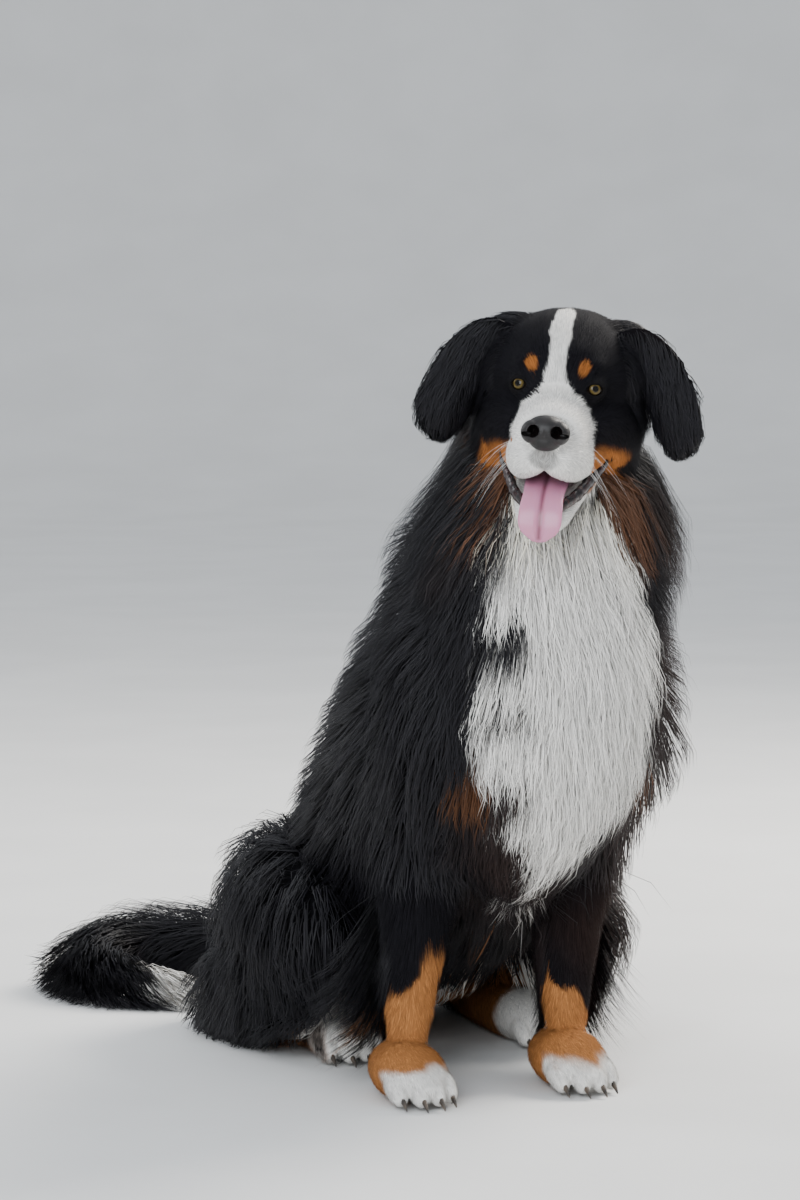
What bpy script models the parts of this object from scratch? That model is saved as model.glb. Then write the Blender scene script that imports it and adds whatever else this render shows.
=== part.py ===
"""A life-size Bernese mountain dog, sitting, with its head turned to its right.

Metres, +Z up. The dog looks towards -Y, its left side is +X and its tail lies behind it, at +Y.
The figure is laid out from its forefeet: x = 0 and y = 0 lie midway between them, on the floor.
"""

import math
import random

import bmesh
import bpy
import numpy as np
from mathutils import Euler, Matrix, Vector
from mathutils.bvhtree import BVHTree

# Driving dimensions
GAP = 0.0003  # between touching pieces
MID_X = 0.042  # the trunk leans to the dog's left of its forefeet
CENTRE = Vector((0.0125, 0.3134, 0.0))  # middle of the figure's box on the floor
CORE_SHARE = 0.5  # how far the solid body under the locks reaches from the skin to their tips
SHORT_COAT = 0.014  # fur up to this length lies in the solid body whole

HEAD_CENTRE = Vector((0.0504, -0.0867, 0.827))
HEAD_YAW = math.radians(-30.0)
HEAD_PITCH = math.radians(2.0)
HEAD_ROLL = math.radians(4.2)

EYE_RADIUS = 0.0125
EYE_PLACE = Vector((0.0390, -0.0850, -0.0055))
NOSE_PLACE = Vector((0.0, -0.196, -0.046))

FOREPAW_X = {"left": 0.090, "right": -0.112}
SIDES = {"left": 1.0, "right": -1.0}

# Colours
BLACK = (0.012, 0.011, 0.013)
WHITE = (0.80, 0.78, 0.72)
RUST = (0.36, 0.13, 0.035)
NOSE_GREY = (0.035, 0.032, 0.034)
TONGUE_PINK = (0.66, 0.30, 0.38)
EYE_BROWN = (0.16, 0.085, 0.02)

# Stations of each loft: x, y, z, half width, half depth, coat. x counts from the trunk's middle plane.
TRUNK = [
    (0.008, -0.020, 0.61, 0.092, 0.092, 0.042),
    (0.004, 0.030, 0.53, 0.125, 0.132, 0.042),
    (0, 0.090, 0.44, 0.145, 0.158, 0.042),
    (0, 0.170, 0.35, 0.146, 0.162, 0.042),
    (0, 0.260, 0.27, 0.140, 0.152, 0.042),
    (0, 0.350, 0.20, 0.134, 0.130, 0.038),
    (0, 0.430, 0.145, 0.125, 0.105, 0.035),
    (0, 0.505, 0.105, 0.090, 0.075, 0.035),
]
CHEST = [
    (0, -0.015, 0.66, 0.085, 0.080, 0.050),
    (0.002, -0.035, 0.57, 0.105, 0.085, 0.055),
    (-0.004, -0.040, 0.47, 0.106, 0.085, 0.055),
    (-0.008, -0.025, 0.385, 0.090, 0.078, 0.055),
    (-0.008, 0.000, 0.325, 0.062, 0.060, 0.050),
]
NECK = [
    (0.006, -0.052, 0.81, 0.068, 0.072, 0.030),
    (0.010, -0.036, 0.745, 0.085, 0.088, 0.045),
    (0.014, -0.020, 0.68, 0.096, 0.094, 0.050),
    (0.012, -0.002, 0.61, 0.106, 0.104, 0.050),
    (0.006, 0.015, 0.55, 0.115, 0.120, 0.046),
]
SHOULDER = [
    (0.055, 0.090, 0.60, 0.045, 0.060, 0.035),
    (0.088, 0.030, 0.50, 0.050, 0.070, 0.040),
    (0.103, 0.000, 0.42, 0.048, 0.065, 0.040),
    (0.103, 0.040, 0.34, 0.045, 0.060, 0.035),
    (0.095, 0.065, 0.28, 0.038, 0.048, 0.030),
]
THIGH = [
    (0.100, 0.515, 0.125, 0.042, 0.062, 0.044),
    (0.120, 0.450, 0.150, 0.060, 0.096, 0.044),
    (0.145, 0.360, 0.155, 0.061, 0.091, 0.044),
    (0.165, 0.270, 0.155, 0.052, 0.072, 0.043),
    (0.174, 0.205, 0.148, 0.036, 0.049, 0.042),
]
SHANK = [
    (0.174, 0.220, 0.125, 0.034, 0.044, 0.044),
    (0.178, 0.330, 0.085, 0.038, 0.046, 0.046),
    (0.174, 0.440, 0.062, 0.042, 0.044, 0.048),
    (0.145, 0.505, 0.055, 0.038, 0.040, 0.044),
]
HIND_FOOT = [
    (0.132, 0.465, 0.045, 0.028, 0.032, 0.012),
    (0.125, 0.400, 0.040, 0.028, 0.032, 0.012),
    (0.120, 0.320, 0.032, 0.028, 0.028, 0.010),
    (0.124, 0.262, 0.031, 0.036, 0.028, 0.007),
    (0.128, 0.225, 0.027, 0.041, 0.027, 0.006),
    (0.130, 0.200, 0.022, 0.030, 0.019, 0.006),
]
# The forelegs' x runs from the elbow to the paw, so it is given as a share of that way.
FORELEG = [
    (0.00, 0.066, 0.31, 0.042, 0.052, 0.026),
    (0.28, 0.052, 0.22, 0.034, 0.039, 0.012),
    (0.57, 0.032, 0.14, 0.029, 0.032, 0.008),
    (0.71, 0.017, 0.10, 0.030, 0.031, 0.007),
    (0.88, 0.002, 0.055, 0.029, 0.030, 0.006),
]
FOREPAW = [
    (1.0, 0.024, 0.034, 0.028, 0.026, 0.006),
    (1.0, -0.018, 0.034, 0.039, 0.031, 0.006),
    (1.0, -0.052, 0.028, 0.041, 0.027, 0.006),
    (1.0, -0.076, 0.021, 0.030, 0.018, 0.006),
]
ELBOW_X = 0.095
TAIL = [
    (0.000, 0.520, 0.115, 0.032, 0.034, 0.030),
    (0.000, 0.610, 0.084, 0.030, 0.030, 0.040),
    (-0.020, 0.710, 0.060, 0.028, 0.028, 0.048),
    (-0.070, 0.800, 0.051, 0.026, 0.026, 0.052),
    (-0.145, 0.850, 0.050, 0.024, 0.024, 0.054),
    (-0.215, 0.835, 0.046, 0.022, 0.022, 0.050),
    (-0.255, 0.770, 0.039, 0.019, 0.019, 0.042),
    (-0.240, 0.705, 0.032, 0.016, 0.016, 0.034),
    (-0.205, 0.660, 0.026, 0.012, 0.012, 0.030),
    (-0.170, 0.630, 0.019, 0.008, 0.008, 0.024),
]

# The head's lofts, in its own frame: the nose points to -Y and the origin is the skull's middle.
SKULL = [
    (0, 0.095, -0.012, 0.048, 0.048, 0.018),
    (0, 0.060, -0.002, 0.074, 0.062, 0.016),
    (0, 0.015, 0.002, 0.084, 0.064, 0.012),
    (0, -0.030, 0.002, 0.079, 0.059, 0.010),
    (0, -0.058, -0.001, 0.066, 0.047, 0.007),
    (0, -0.076, -0.010, 0.046, 0.034, 0.005),
]
EAR_MOUND = [
    (0.030, 0.020, 0.040, 0.020, 0.018, 0.010),
    (0.058, 0.012, 0.042, 0.022, 0.018, 0.010),
    (0.082, 0.004, 0.032, 0.016, 0.015, 0.008),
]
CHEEK = [
    (0.030, 0.050, -0.050, 0.035, 0.040, 0.022),
    (0.048, 0.010, -0.050, 0.034, 0.042, 0.020),
    (0.050, -0.035, -0.052, 0.028, 0.036, 0.012),
    (0.040, -0.070, -0.055, 0.022, 0.028, 0.007),
]
MUZZLE = [
    (0, -0.050, -0.048, 0.052, 0.040, 0.006),
    (0, -0.090, -0.050, 0.042, 0.036, 0.005),
    (0, -0.130, -0.054, 0.038, 0.034, 0.005),
    (0, -0.152, -0.056, 0.037, 0.032, 0.005),
    (0, -0.165, -0.060, 0.030, 0.025, 0.004),
]
FLEW = [
    (0.046, -0.072, -0.078, 0.012, 0.020, 0.005),
    (0.036, -0.110, -0.080, 0.014, 0.023, 0.005),
    (0.027, -0.150, -0.080, 0.016, 0.023, 0.005),
    (0.014, -0.172, -0.078, 0.014, 0.018, 0.004),
]
BROW = [
    (0.040, -0.045, 0.028, 0.018, 0.014, 0.006),
    (0.034, -0.078, 0.018, 0.014, 0.010, 0.004),
]
JAW = [
    (0, -0.042, -0.108, 0.044, 0.020, 0.007),
    (0, -0.080, -0.120, 0.038, 0.018, 0.006),
    (0, -0.120, -0.133, 0.032, 0.016, 0.005),
    (0, -0.152, -0.145, 0.026, 0.014, 0.005),
    (0, -0.166, -0.150, 0.018, 0.010, 0.004),
]
TONGUE = [
    (0, -0.080, -0.096, 0.020, 0.0060),
    (0, -0.125, -0.107, 0.024, 0.0060),
    (0, -0.160, -0.118, 0.0245, 0.0060),
    (0, -0.178, -0.132, 0.0250, 0.0055),
    (0, -0.184, -0.149, 0.0238, 0.0050),
    (0, -0.183, -0.162, 0.0165, 0.0040),
]
EAR_FRONT_EDGE = [
    (0.044, -0.020, 0.050),
    (0.088, -0.032, 0.066),
    (0.134, -0.033, 0.034),
    (0.160, -0.028, -0.026),
    (0.158, -0.024, -0.074),
    (0.140, -0.020, -0.092),
]
EAR_REAR_EDGE = [
    (0.056, 0.046, 0.022),
    (0.084, 0.030, 0.006),
    (0.098, 0.014, -0.022),
    (0.108, 0.000, -0.052),
    (0.120, -0.008, -0.080),
    (0.132, -0.016, -0.094),
]
EAR_ROWS = 10
EAR_COLUMNS = 5
EAR_CUP = 0.020
EAR_THICKNESS = 0.0045
EAR_EDGE_THICKNESS = 0.0012

EAR_COAT = 0.012

LOWER_LIP = [
    (0.056, -0.066, -0.094, 0.008),
    (0.042, -0.105, -0.108, 0.008),
    (0.030, -0.140, -0.124, 0.007),
    (0.014, -0.164, -0.136, 0.006),
]
EYE_TURN = 0.36  # how far the eyes look to the side, as a slope
EYE_OPENING = (0.0110, 0.0105, 0.0068)  # half its width, depth and height
LID_POINTS = 6
LID_HALF_WIDTH = 1.05  # half the way between the corners of the lids, as a share of the eye's radius
LID_UPPER_HEIGHT = 0.72
LID_LOWER_HEIGHT = 0.62
LID_RADIUS = 0.0032
LID_STANDING = 0.0010
# The nose pad's lumps, each a place and half sizes: its middle, the strip below it and the wings
NOSE_LUMPS = [
    ((0, 0.006, 0.001), (0.0235, 0.018, 0.0165)),
    ((0, 0.002, -0.010), (0.010, 0.012, 0.013)),
    ((0.0155, -0.001, -0.001), (0.0115, 0.0115, 0.0125)),
]
NOSTRIL_PLACE = (0.0135, -0.013, -0.001)
NOSTRIL_SIZES = (0.0060, 0.0095, 0.0056)

# Triangles left in each smooth body
BODY_TRIANGLES = 2150
HEAD_TRIANGLES = 1850
PAW_TRIANGLES = 240
JAW_TRIANGLES = 320
NOSE_TRIANGLES = 300

LOFT_SIDES = 20
SPAN_STEPS = 3


def clear_scene():
    for obj in list(bpy.data.objects):
        bpy.data.objects.remove(obj)


def material(name, colour, roughness):
    made = bpy.data.materials.new(name)
    made.use_nodes = True
    shader = made.node_tree.nodes["Principled BSDF"]
    shader.inputs["Base Color"].default_value = (*colour, 1.0)
    shader.inputs["Roughness"].default_value = roughness
    shader.inputs["Metallic"].default_value = 0.0
    made.diffuse_color = (*colour, 1.0)
    return made


def mesh_object(name, points, faces):
    mesh = bpy.data.meshes.new(name)
    mesh.from_pydata([tuple(p) for p in points], [], faces)
    obj = bpy.data.objects.new(name, mesh)
    bpy.context.scene.collection.objects.link(obj)
    return obj


def spline(rows, steps):
    """Rows of numbers, read at even steps along a smooth curve through them."""
    rows = np.array(rows, float)
    ends = np.vstack([2 * rows[0] - rows[1], rows, 2 * rows[-1] - rows[-2]])
    found = []
    for i in range(1, len(ends) - 2):
        a, b, c, d = ends[i - 1 : i + 3]
        for k in range(steps):
            t = k / steps
            found.append(
                0.5
                * (
                    2 * b
                    + (c - a) * t
                    + (2 * a - 5 * b + 4 * c - d) * t * t
                    + (3 * b - a - 3 * c + d) * t**3
                )
            )
    found.append(rows[-1])
    return np.array(found)


def unit(vectors):
    vectors = np.asarray(vectors, float)
    return vectors / np.maximum(np.linalg.norm(vectors, axis=-1, keepdims=True), 1e-9)


def ring_axes(along, level=False):
    """The ways along a ring's width, nearest to X or level with the floor, and its depth."""
    across = np.cross(along, [0, 0, 1.0]) if level else np.array([1.0, 0, 0]) - along[0] * along
    across = unit(across)
    return across, np.cross(along, across)


def loft(name, stations, grow=0.0, sides=LOFT_SIDES, steps=SPAN_STEPS, level=False):
    """A closed tube with oval rings and rounded ends. Stations are x, y, z, half width, half depth."""
    rows = spline(stations, steps)
    centres, widths, depths = rows[:, :3], rows[:, 3] + grow, rows[:, 4] + grow
    tangents = unit(np.gradient(centres, axis=0))
    rings = []
    for cap in (math.radians(75), math.radians(45)):
        rings.append((0, -math.sin(cap), math.cos(cap)))
    rings += [(i, 0.0, 1.0) for i in range(len(rows))]
    for cap in (math.radians(45), math.radians(75)):
        rings.append((len(rows) - 1, math.sin(cap), math.cos(cap)))
    points = []
    angles = np.arange(sides) * 2 * math.pi / sides
    for i, out, size in rings:
        along = tangents[i]
        across, depth_way = ring_axes(along, level)
        middle = centres[i] + along * out * min(widths[i], depths[i])
        for angle in angles:
            points.append(
                middle
                + across * math.cos(angle) * widths[i] * size
                + depth_way * math.sin(angle) * depths[i] * size
            )
    faces = [tuple(reversed(range(sides)))]
    for r in range(len(rings) - 1):
        for s in range(sides):
            near, far = r * sides + s, r * sides + (s + 1) % sides
            faces.append((near, far, far + sides, near + sides))
    faces.append(tuple((len(rings) - 1) * sides + s for s in range(sides)))
    return mesh_object(name, points, faces)


def core(coat):
    """The share of a coat of this length that the solid body takes up."""
    return max(min(coat, SHORT_COAT), CORE_SHARE * coat)


def body_stations(rows, side=1.0):
    """Stations in the figure's frame, with the body's share of the coat added."""
    return [
        (MID_X + side * x, y, z, w + core(coat), d + core(coat)) for x, y, z, w, d, coat in rows
    ]


def foreleg_stations(rows, side):
    top, foot = MID_X + SIDES[side] * ELBOW_X, FOREPAW_X[side]
    return [
        (top + (foot - top) * x, y, z, w + core(coat), d + core(coat))
        for x, y, z, w, d, coat in rows
    ]


def head_stations(rows, side=1.0):
    return [(side * x, y, z, w + core(coat), d + core(coat)) for x, y, z, w, d, coat in rows]


def head_frame():
    turn = Euler((HEAD_PITCH, 0, 0)).to_matrix().to_4x4()
    turn = Matrix.Rotation(HEAD_ROLL, 4, "Y") @ turn
    turn = Matrix.Rotation(HEAD_YAW, 4, "Z") @ turn
    return Matrix.Translation(HEAD_CENTRE) @ turn


def evaluated_mesh(obj):
    graph = bpy.context.evaluated_depsgraph_get()
    return bpy.data.meshes.new_from_object(obj.evaluated_get(graph))


def settle(obj):
    """Makes the object's modifiers and its place part of its mesh."""
    mesh = evaluated_mesh(obj)
    mesh.transform(obj.matrix_world)
    obj.modifiers.clear()
    obj.data = mesh
    obj.matrix_world = Matrix.Identity(4)
    return obj


def joined(name, pieces):
    """The pieces' meshes in one object, side by side."""
    together = bmesh.new()
    for piece in pieces:
        together.from_mesh(piece.data)
        bpy.data.objects.remove(piece)
    mesh = bpy.data.meshes.new(name)
    together.to_mesh(mesh)
    together.free()
    obj = bpy.data.objects.new(name, mesh)
    bpy.context.scene.collection.objects.link(obj)
    return obj


def fused(name, pieces, voxel, smoothing, triangles):
    """One smooth closed body grown over overlapping pieces."""
    obj = joined(name, pieces)
    remesh = obj.modifiers.new("Grow together", "REMESH")
    remesh.mode = "VOXEL"
    remesh.voxel_size = voxel
    smooth = obj.modifiers.new("Soften", "SMOOTH")
    smooth.factor = 0.5
    smooth.iterations = smoothing
    settle(obj)
    thin = obj.modifiers.new("Fewer faces", "DECIMATE")
    thin.ratio = triangles / (2 * len(obj.data.polygons))
    return settle(obj)


def boolean(obj, other, operation, solver="EXACT"):
    cut = obj.modifiers.new(operation.title(), "BOOLEAN")
    cut.operation = operation
    cut.solver = solver
    cut.object = other
    return settle(obj)


def add_or_cut(obj, other, operation):
    """A Boolean for crossing closed pieces whose edges nearly touch, with the other piece used up."""
    boolean(obj, other, operation, solver="MANIFOLD")
    bpy.data.objects.remove(other)
    return obj


def largest_body(obj):
    """Keeps only the object's largest closed surface."""
    work = bmesh.new()
    work.from_mesh(obj.data)
    work.faces.ensure_lookup_table()
    unseen = set(work.faces)
    groups = []
    while unseen:
        stack = [unseen.pop()]
        group = set(stack)
        while stack:
            face = stack.pop()
            for edge in face.edges:
                for near in edge.link_faces:
                    if near in unseen:
                        unseen.discard(near)
                        group.add(near)
                        stack.append(near)
        groups.append(group)
    keep = max(groups, key=len)
    bmesh.ops.delete(work, geom=[f for f in work.faces if f not in keep], context="FACES")
    bmesh.ops.triangulate(work, faces=work.faces)
    work.to_mesh(obj.data)
    work.free()
    return obj


def copy_of(obj, name):
    twin = bpy.data.objects.new(name, obj.data.copy())
    bpy.context.scene.collection.objects.link(twin)
    return twin


def split(whole, name, region, grown_region):
    """Cuts the part of the body that lies in a region off as a node, with a thin gap between."""
    piece = copy_of(whole, name)
    boolean(piece, region, "INTERSECT")
    boolean(whole, grown_region, "DIFFERENCE")
    bpy.data.objects.remove(region)
    bpy.data.objects.remove(grown_region)
    largest_body(whole)
    return largest_body(piece)


def block(name, low, high, frame=None):
    """A box between two corners."""
    x0, y0, z0 = low
    x1, y1, z1 = high
    points = [(x, y, z) for z in (z0, z1) for y in (y0, y1) for x in (x0, x1)]
    faces = [(0, 2, 3, 1), (4, 5, 7, 6), (0, 1, 5, 4), (2, 6, 7, 3), (0, 4, 6, 2), (1, 3, 7, 5)]
    obj = mesh_object(name, points, faces)
    if frame is not None:
        obj.data.transform(frame)
    return obj


def plane_frame(point, normal):
    """A frame at a point with its Z along the normal."""
    turn = Vector(normal).to_track_quat("Z", "Y").to_matrix().to_4x4()
    return Matrix.Translation(point) @ turn


def trim(obj, point, normal, reach=1.0):
    """Cuts away what lies beyond a plane, on the side of its normal."""
    cutter = block("Trim", (-reach, -reach, 0), (reach, reach, reach), plane_frame(point, normal))
    boolean(obj, cutter, "DIFFERENCE")
    bpy.data.objects.remove(cutter)
    return largest_body(obj)


def grown(obj, name, by=GAP):
    """A copy of a body, a little fatter all round."""
    twin = copy_of(obj, name)
    fatten = twin.modifiers.new("Fatten", "DISPLACE")
    fatten.strength = by
    fatten.mid_level = 0.0
    return settle(twin)


# Planes that part the pieces: a point and a normal. The head's plane is in the head's own frame.
HEAD_PLANE = (Vector((0.0, 0.030, -0.100)), Vector((0.0, -0.66, 0.75)))
NECK_PLANE = (Vector((0.042, 0.010, 0.600)), Vector((0.0, -0.243, 0.970)))
TAIL_CUTS = [
    (Vector((0.042, 0.630, 0.080)), Vector((-0.06, 1.0, 0.0))),
    (Vector((-0.022, 0.795, 0.070)), Vector((-0.60, 0.80, 0.0))),
    (Vector((-0.140, 0.848, 0.066)), Vector((-0.99, -0.10, 0.0))),
    (Vector((-0.212, 0.785, 0.054)), Vector((-0.20, -0.98, 0.0))),
]
FOREPAW_TOP = 0.062
FORELEG_REGION = [
    (0.00, 0.062, 0.245, 0.060, 0.072),
    (0.40, 0.045, 0.180, 0.066, 0.075),
    (1.00, 0.000, 0.060, 0.075, 0.085),
    (1.00, -0.020, -0.040, 0.085, 0.115),
]
REGION_SIDES = 10
REGION_EDGE = 0.012  # how far a leg's cut lies outside the leg's own outline

TOES = [(-0.027, -0.062), (-0.0095, -0.072), (0.0095, -0.072), (0.027, -0.062)]
TOE_RADIUS = 0.0125
TOE_BACK = 0.030  # from a toe's root to its highest place
TOE_HEIGHTS = (0.026, 0.019, 0.013)
CLAW_RADIUS = 0.0042
CLAW_ROOT = (-0.008, 0.016)  # its way in front of the toe's middle, and its height
CLAW_TIP = (-0.031, 0.005)
CLAW_SIDES = 6
HIND_TOE_FROM_STATION = 0.050


def skull_pieces():
    pieces = [loft("Skull", head_stations(SKULL))]
    for sign in SIDES.values():
        pieces.append(loft("Cheek", head_stations(CHEEK, sign)))
        pieces.append(loft("Ear mound", head_stations(EAR_MOUND, sign)))
    pieces.append(loft("Muzzle", head_stations(MUZZLE)))
    return pieces


def make_body():
    """The trunk, neck and legs as one smooth body, with a rough head that the neck runs into."""
    frame = head_frame()
    pieces = []
    for piece in skull_pieces():
        piece.data.transform(frame)
        pieces.append(piece)
    pieces.append(loft("Trunk", body_stations(TRUNK)))
    pieces.append(loft("Chest", body_stations(CHEST)))
    pieces.append(loft("Neck", body_stations(NECK)))
    for side, sign in SIDES.items():
        pieces.append(loft("Shoulder", body_stations(SHOULDER, sign)))
        pieces.append(loft("Thigh", body_stations(THIGH, sign)))
        pieces.append(loft("Shank", body_stations(SHANK, sign)))
        pieces.append(loft("Hind foot", body_stations(HIND_FOOT, sign)))
        pieces.append(loft("Foreleg", foreleg_stations(FORELEG, side)))
        pieces.append(loft("Forepaw", foreleg_stations(FOREPAW, side)))
    pieces.append(loft("Tail root", body_stations(TAIL[:4]), level=True))
    return fused("Body", pieces, voxel=0.006, smoothing=6, triangles=BODY_TRIANGLES)


def on_floor(obj):
    """Cuts the piece flat where it rests on the floor."""
    return trim(obj, Vector((0, 0, 0)), Vector((0, 0, -1)))


def make_forepaw(side):
    """The toes and claws below the wrist, cut off level under the foreleg."""
    foot = FOREPAW_X[side]
    pieces = [
        loft("Paw", foreleg_stations(FOREPAW, side)),
        loft("Pastern", foreleg_stations(FORELEG[2:], side)),
    ]
    pieces += toes(foot, 0.0)
    paw = fused("forepaw_" + side, pieces, voxel=0.003, smoothing=3, triangles=PAW_TRIANGLES)
    add_claws(paw, foot, 0.0)
    trim(paw, Vector((0, 0, FOREPAW_TOP - GAP)), Vector((0, 0, 1)))
    return on_floor(paw)


def toes(x, y):
    made = []
    root, knuckle, tip = TOE_HEIGHTS
    for across, front in TOES:
        stations = [
            (x + across * 0.8, y + front + TOE_BACK, root, TOE_RADIUS, TOE_RADIUS),
            (x + across, y + front, knuckle, TOE_RADIUS, TOE_RADIUS * 1.2),
            (x + across, y + front - TOE_BACK / 3, tip, TOE_RADIUS * 0.8, TOE_RADIUS * 0.9),
        ]
        made.append(loft("Toe", stations, sides=10, steps=2))
    return made


def add_claws(paw, x, y):
    for across, front in TOES:
        tip = Vector((x + across, y + front + CLAW_TIP[0], CLAW_TIP[1]))
        root = Vector((x + across, y + front + CLAW_ROOT[0], CLAW_ROOT[1]))
        claw = bpy.data.objects.new("Claw", bpy.data.meshes.new("Claw"))
        bpy.context.scene.collection.objects.link(claw)
        work = bmesh.new()
        way = tip - root
        turn = way.to_track_quat("Z", "Y").to_matrix().to_4x4()
        place = Matrix.Translation((tip + root) / 2) @ turn
        bmesh.ops.create_cone(
            work,
            cap_ends=True,
            segments=CLAW_SIDES,
            radius1=CLAW_RADIUS,
            radius2=CLAW_RADIUS * 0.3,
            depth=way.length,
            matrix=place,
        )
        work.to_mesh(claw.data)
        work.free()
        boolean(paw, claw, "UNION")
        bpy.data.objects.remove(claw)


def make_hind_foot(side, sign):
    x, y = MID_X + sign * HIND_FOOT[4][0], HIND_FOOT[4][1] + HIND_TOE_FROM_STATION
    pieces = [loft("Foot", body_stations(HIND_FOOT, sign))]
    pieces += toes(x, y)
    foot = fused("hind_foot_" + side, pieces, voxel=0.003, smoothing=3, triangles=PAW_TRIANGLES)
    add_claws(foot, x, y)
    return on_floor(foot)


def make_tail():
    """Four lengths of the tail, curled round on the floor behind the right haunch."""
    names = ["tail_base", "tail_middle", "tail_bend", "tail_tip"]
    spans = [TAIL[:5], TAIL[2:7], TAIL[4:9], TAIL[6:]]
    lengths = []
    for i, (name, span) in enumerate(zip(names, spans)):
        piece = loft(name, body_stations(span), sides=12, steps=2, level=True)
        point, normal = TAIL_CUTS[i]
        trim(piece, point + normal * GAP / 2, -normal)
        if i < 3:
            point, normal = TAIL_CUTS[i + 1]
            trim(piece, point - normal * GAP / 2, normal)
        lengths.append(on_floor(piece))
    return lengths


def surface_ball(name, centre, sizes, segments=12, rings=8):
    obj = bpy.data.objects.new(name, bpy.data.meshes.new(name))
    bpy.context.scene.collection.objects.link(obj)
    work = bmesh.new()
    place = Matrix.Translation(centre) @ Matrix.Diagonal((*sizes, 1.0))
    bmesh.ops.create_uvsphere(work, u_segments=segments, v_segments=rings, radius=1.0, matrix=place)
    work.to_mesh(obj.data)
    work.free()
    return obj


def eye_centre(sign):
    return Vector((sign * EYE_PLACE.x, EYE_PLACE.y, EYE_PLACE.z))


def eye_axes(sign):
    """The way the eye looks, and the ways across and up from it."""
    look = Vector((sign * EYE_TURN, -1.0, 0.04)).normalized()
    across = look.cross(Vector((0, 0, 1))).normalized()
    return look, across, across.cross(look)


def lid(sign, height, radius):
    """One eyelid: a thin roll that runs over the eyeball from corner to corner."""
    look, across, up = eye_axes(sign)
    stations = []
    for step in range(LID_POINTS):
        angle = math.pi * step / (LID_POINTS - 1)
        way = look + across * math.cos(angle) * LID_HALF_WIDTH + up * math.sin(angle) * height
        way.normalize()
        place = eye_centre(sign) + way * (EYE_RADIUS + LID_STANDING)
        stations.append((*place, radius, radius))
    return loft("Lid", stations, sides=6, steps=1)


def eye_opening(sign):
    """An almond-shaped space in front of the eyeball."""
    look, across, up = eye_axes(sign)
    hole = surface_ball("Opening", Vector((0, 0, 0)), EYE_OPENING, segments=12, rings=8)
    turn = Matrix((across, look, up)).transposed().to_4x4()
    hole.data.transform(Matrix.Translation(eye_centre(sign) + look * EYE_RADIUS) @ turn)
    return recalculated(hole)


def make_head():
    pieces = skull_pieces()
    for sign in SIDES.values():
        pieces.append(loft("Flew", head_stations(FLEW, sign)))
        pieces.append(loft("Brow", head_stations(BROW, sign)))
    into_head = head_frame().inverted()
    neck = loft("Neck", body_stations(NECK))
    neck.data.transform(into_head)
    pieces.append(neck)
    head = fused("head", pieces, voxel=0.003, smoothing=5, triangles=HEAD_TRIANGLES)
    point, normal = HEAD_PLANE
    trim(head, point + normal * GAP / 2, -normal)
    for sign in SIDES.values():
        add_or_cut(head, eye_opening(sign), "DIFFERENCE")
        for height in (LID_UPPER_HEIGHT, -LID_LOWER_HEIGHT):
            add_or_cut(head, lid(sign, height, LID_RADIUS), "UNION")
        socket = surface_ball("Socket", eye_centre(sign), [EYE_RADIUS + GAP] * 3)
        add_or_cut(head, socket, "DIFFERENCE")
    return largest_body(head)


def make_nose():
    """The bare nose pad with its two nostrils."""
    pieces = []
    for place, sizes in NOSE_LUMPS:
        for sign in SIDES.values() if place[0] else [1.0]:
            middle = NOSE_PLACE + Vector((sign * place[0], place[1], place[2]))
            pieces.append(surface_ball("Lump", middle, sizes))
    nose = fused("nose", pieces, voxel=0.0013, smoothing=2, triangles=NOSE_TRIANGLES)
    x, y, z = NOSTRIL_PLACE
    for sign in SIDES.values():
        middle = NOSE_PLACE + Vector((sign * x, y, z))
        hole = surface_ball("Nostril", middle, NOSTRIL_SIZES, segments=8, rings=6)
        boolean(nose, hole, "DIFFERENCE")
        bpy.data.objects.remove(hole)
    return largest_body(nose)


def make_jaw():
    pieces = [loft("Jaw", head_stations(JAW))]
    for sign in SIDES.values():
        lip = [(sign * x, y, z, r, r) for x, y, z, r in LOWER_LIP]
        pieces.append(loft("Lip", lip, sides=10))
    return fused("lower_jaw", pieces, voxel=0.003, smoothing=2, triangles=JAW_TRIANGLES)


def make_ear(side):
    """A hanging flap between its front and rear edges, bowed so that its inner face is a cup."""
    sign = SIDES[side]
    front = spline(EAR_FRONT_EDGE, 4)
    rear = spline(EAR_REAR_EDGE, 4)
    rows = np.linspace(0, len(front) - 1, EAR_ROWS + 1)
    front = np.stack([np.interp(rows, range(len(front)), front[:, k]) for k in range(3)], 1)
    rear = np.stack([np.interp(rows, range(len(rear)), rear[:, k]) for k in range(3)], 1)
    middle = np.zeros((EAR_ROWS + 1, EAR_COLUMNS + 1, 3))
    for j in range(EAR_COLUMNS + 1):
        middle[:, j] = front + (rear - front) * j / EAR_COLUMNS
    down = np.gradient(middle, axis=0)
    across = np.gradient(middle, axis=1)
    out = np.cross(across, down)
    out /= np.linalg.norm(out, axis=2)[:, :, None] + 1e-9
    if out[EAR_ROWS // 2, EAR_COLUMNS // 2] @ np.array([1.0, -1.0, 0.3]) < 0:
        out = -out
    share = np.sin(np.pi * np.arange(EAR_COLUMNS + 1) / EAR_COLUMNS)[None, :]
    along = np.sin(np.pi * (0.15 + 0.80 * np.arange(EAR_ROWS + 1) / EAR_ROWS))[:, None]
    middle += out * (share * along * EAR_CUP)[:, :, None]
    half = EAR_EDGE_THICKNESS + (EAR_THICKNESS - EAR_EDGE_THICKNESS) * share
    half = (half * np.ones_like(along) / 2 + CORE_SHARE * EAR_COAT * share)[:, :, None]
    outer, inner = middle + out * half, middle - out * half
    points, faces = closed_sheet(outer, inner)
    points[:, 0] *= sign
    ear = mesh_object("ear_" + side, points, faces)
    return recalculated(ear)


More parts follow.
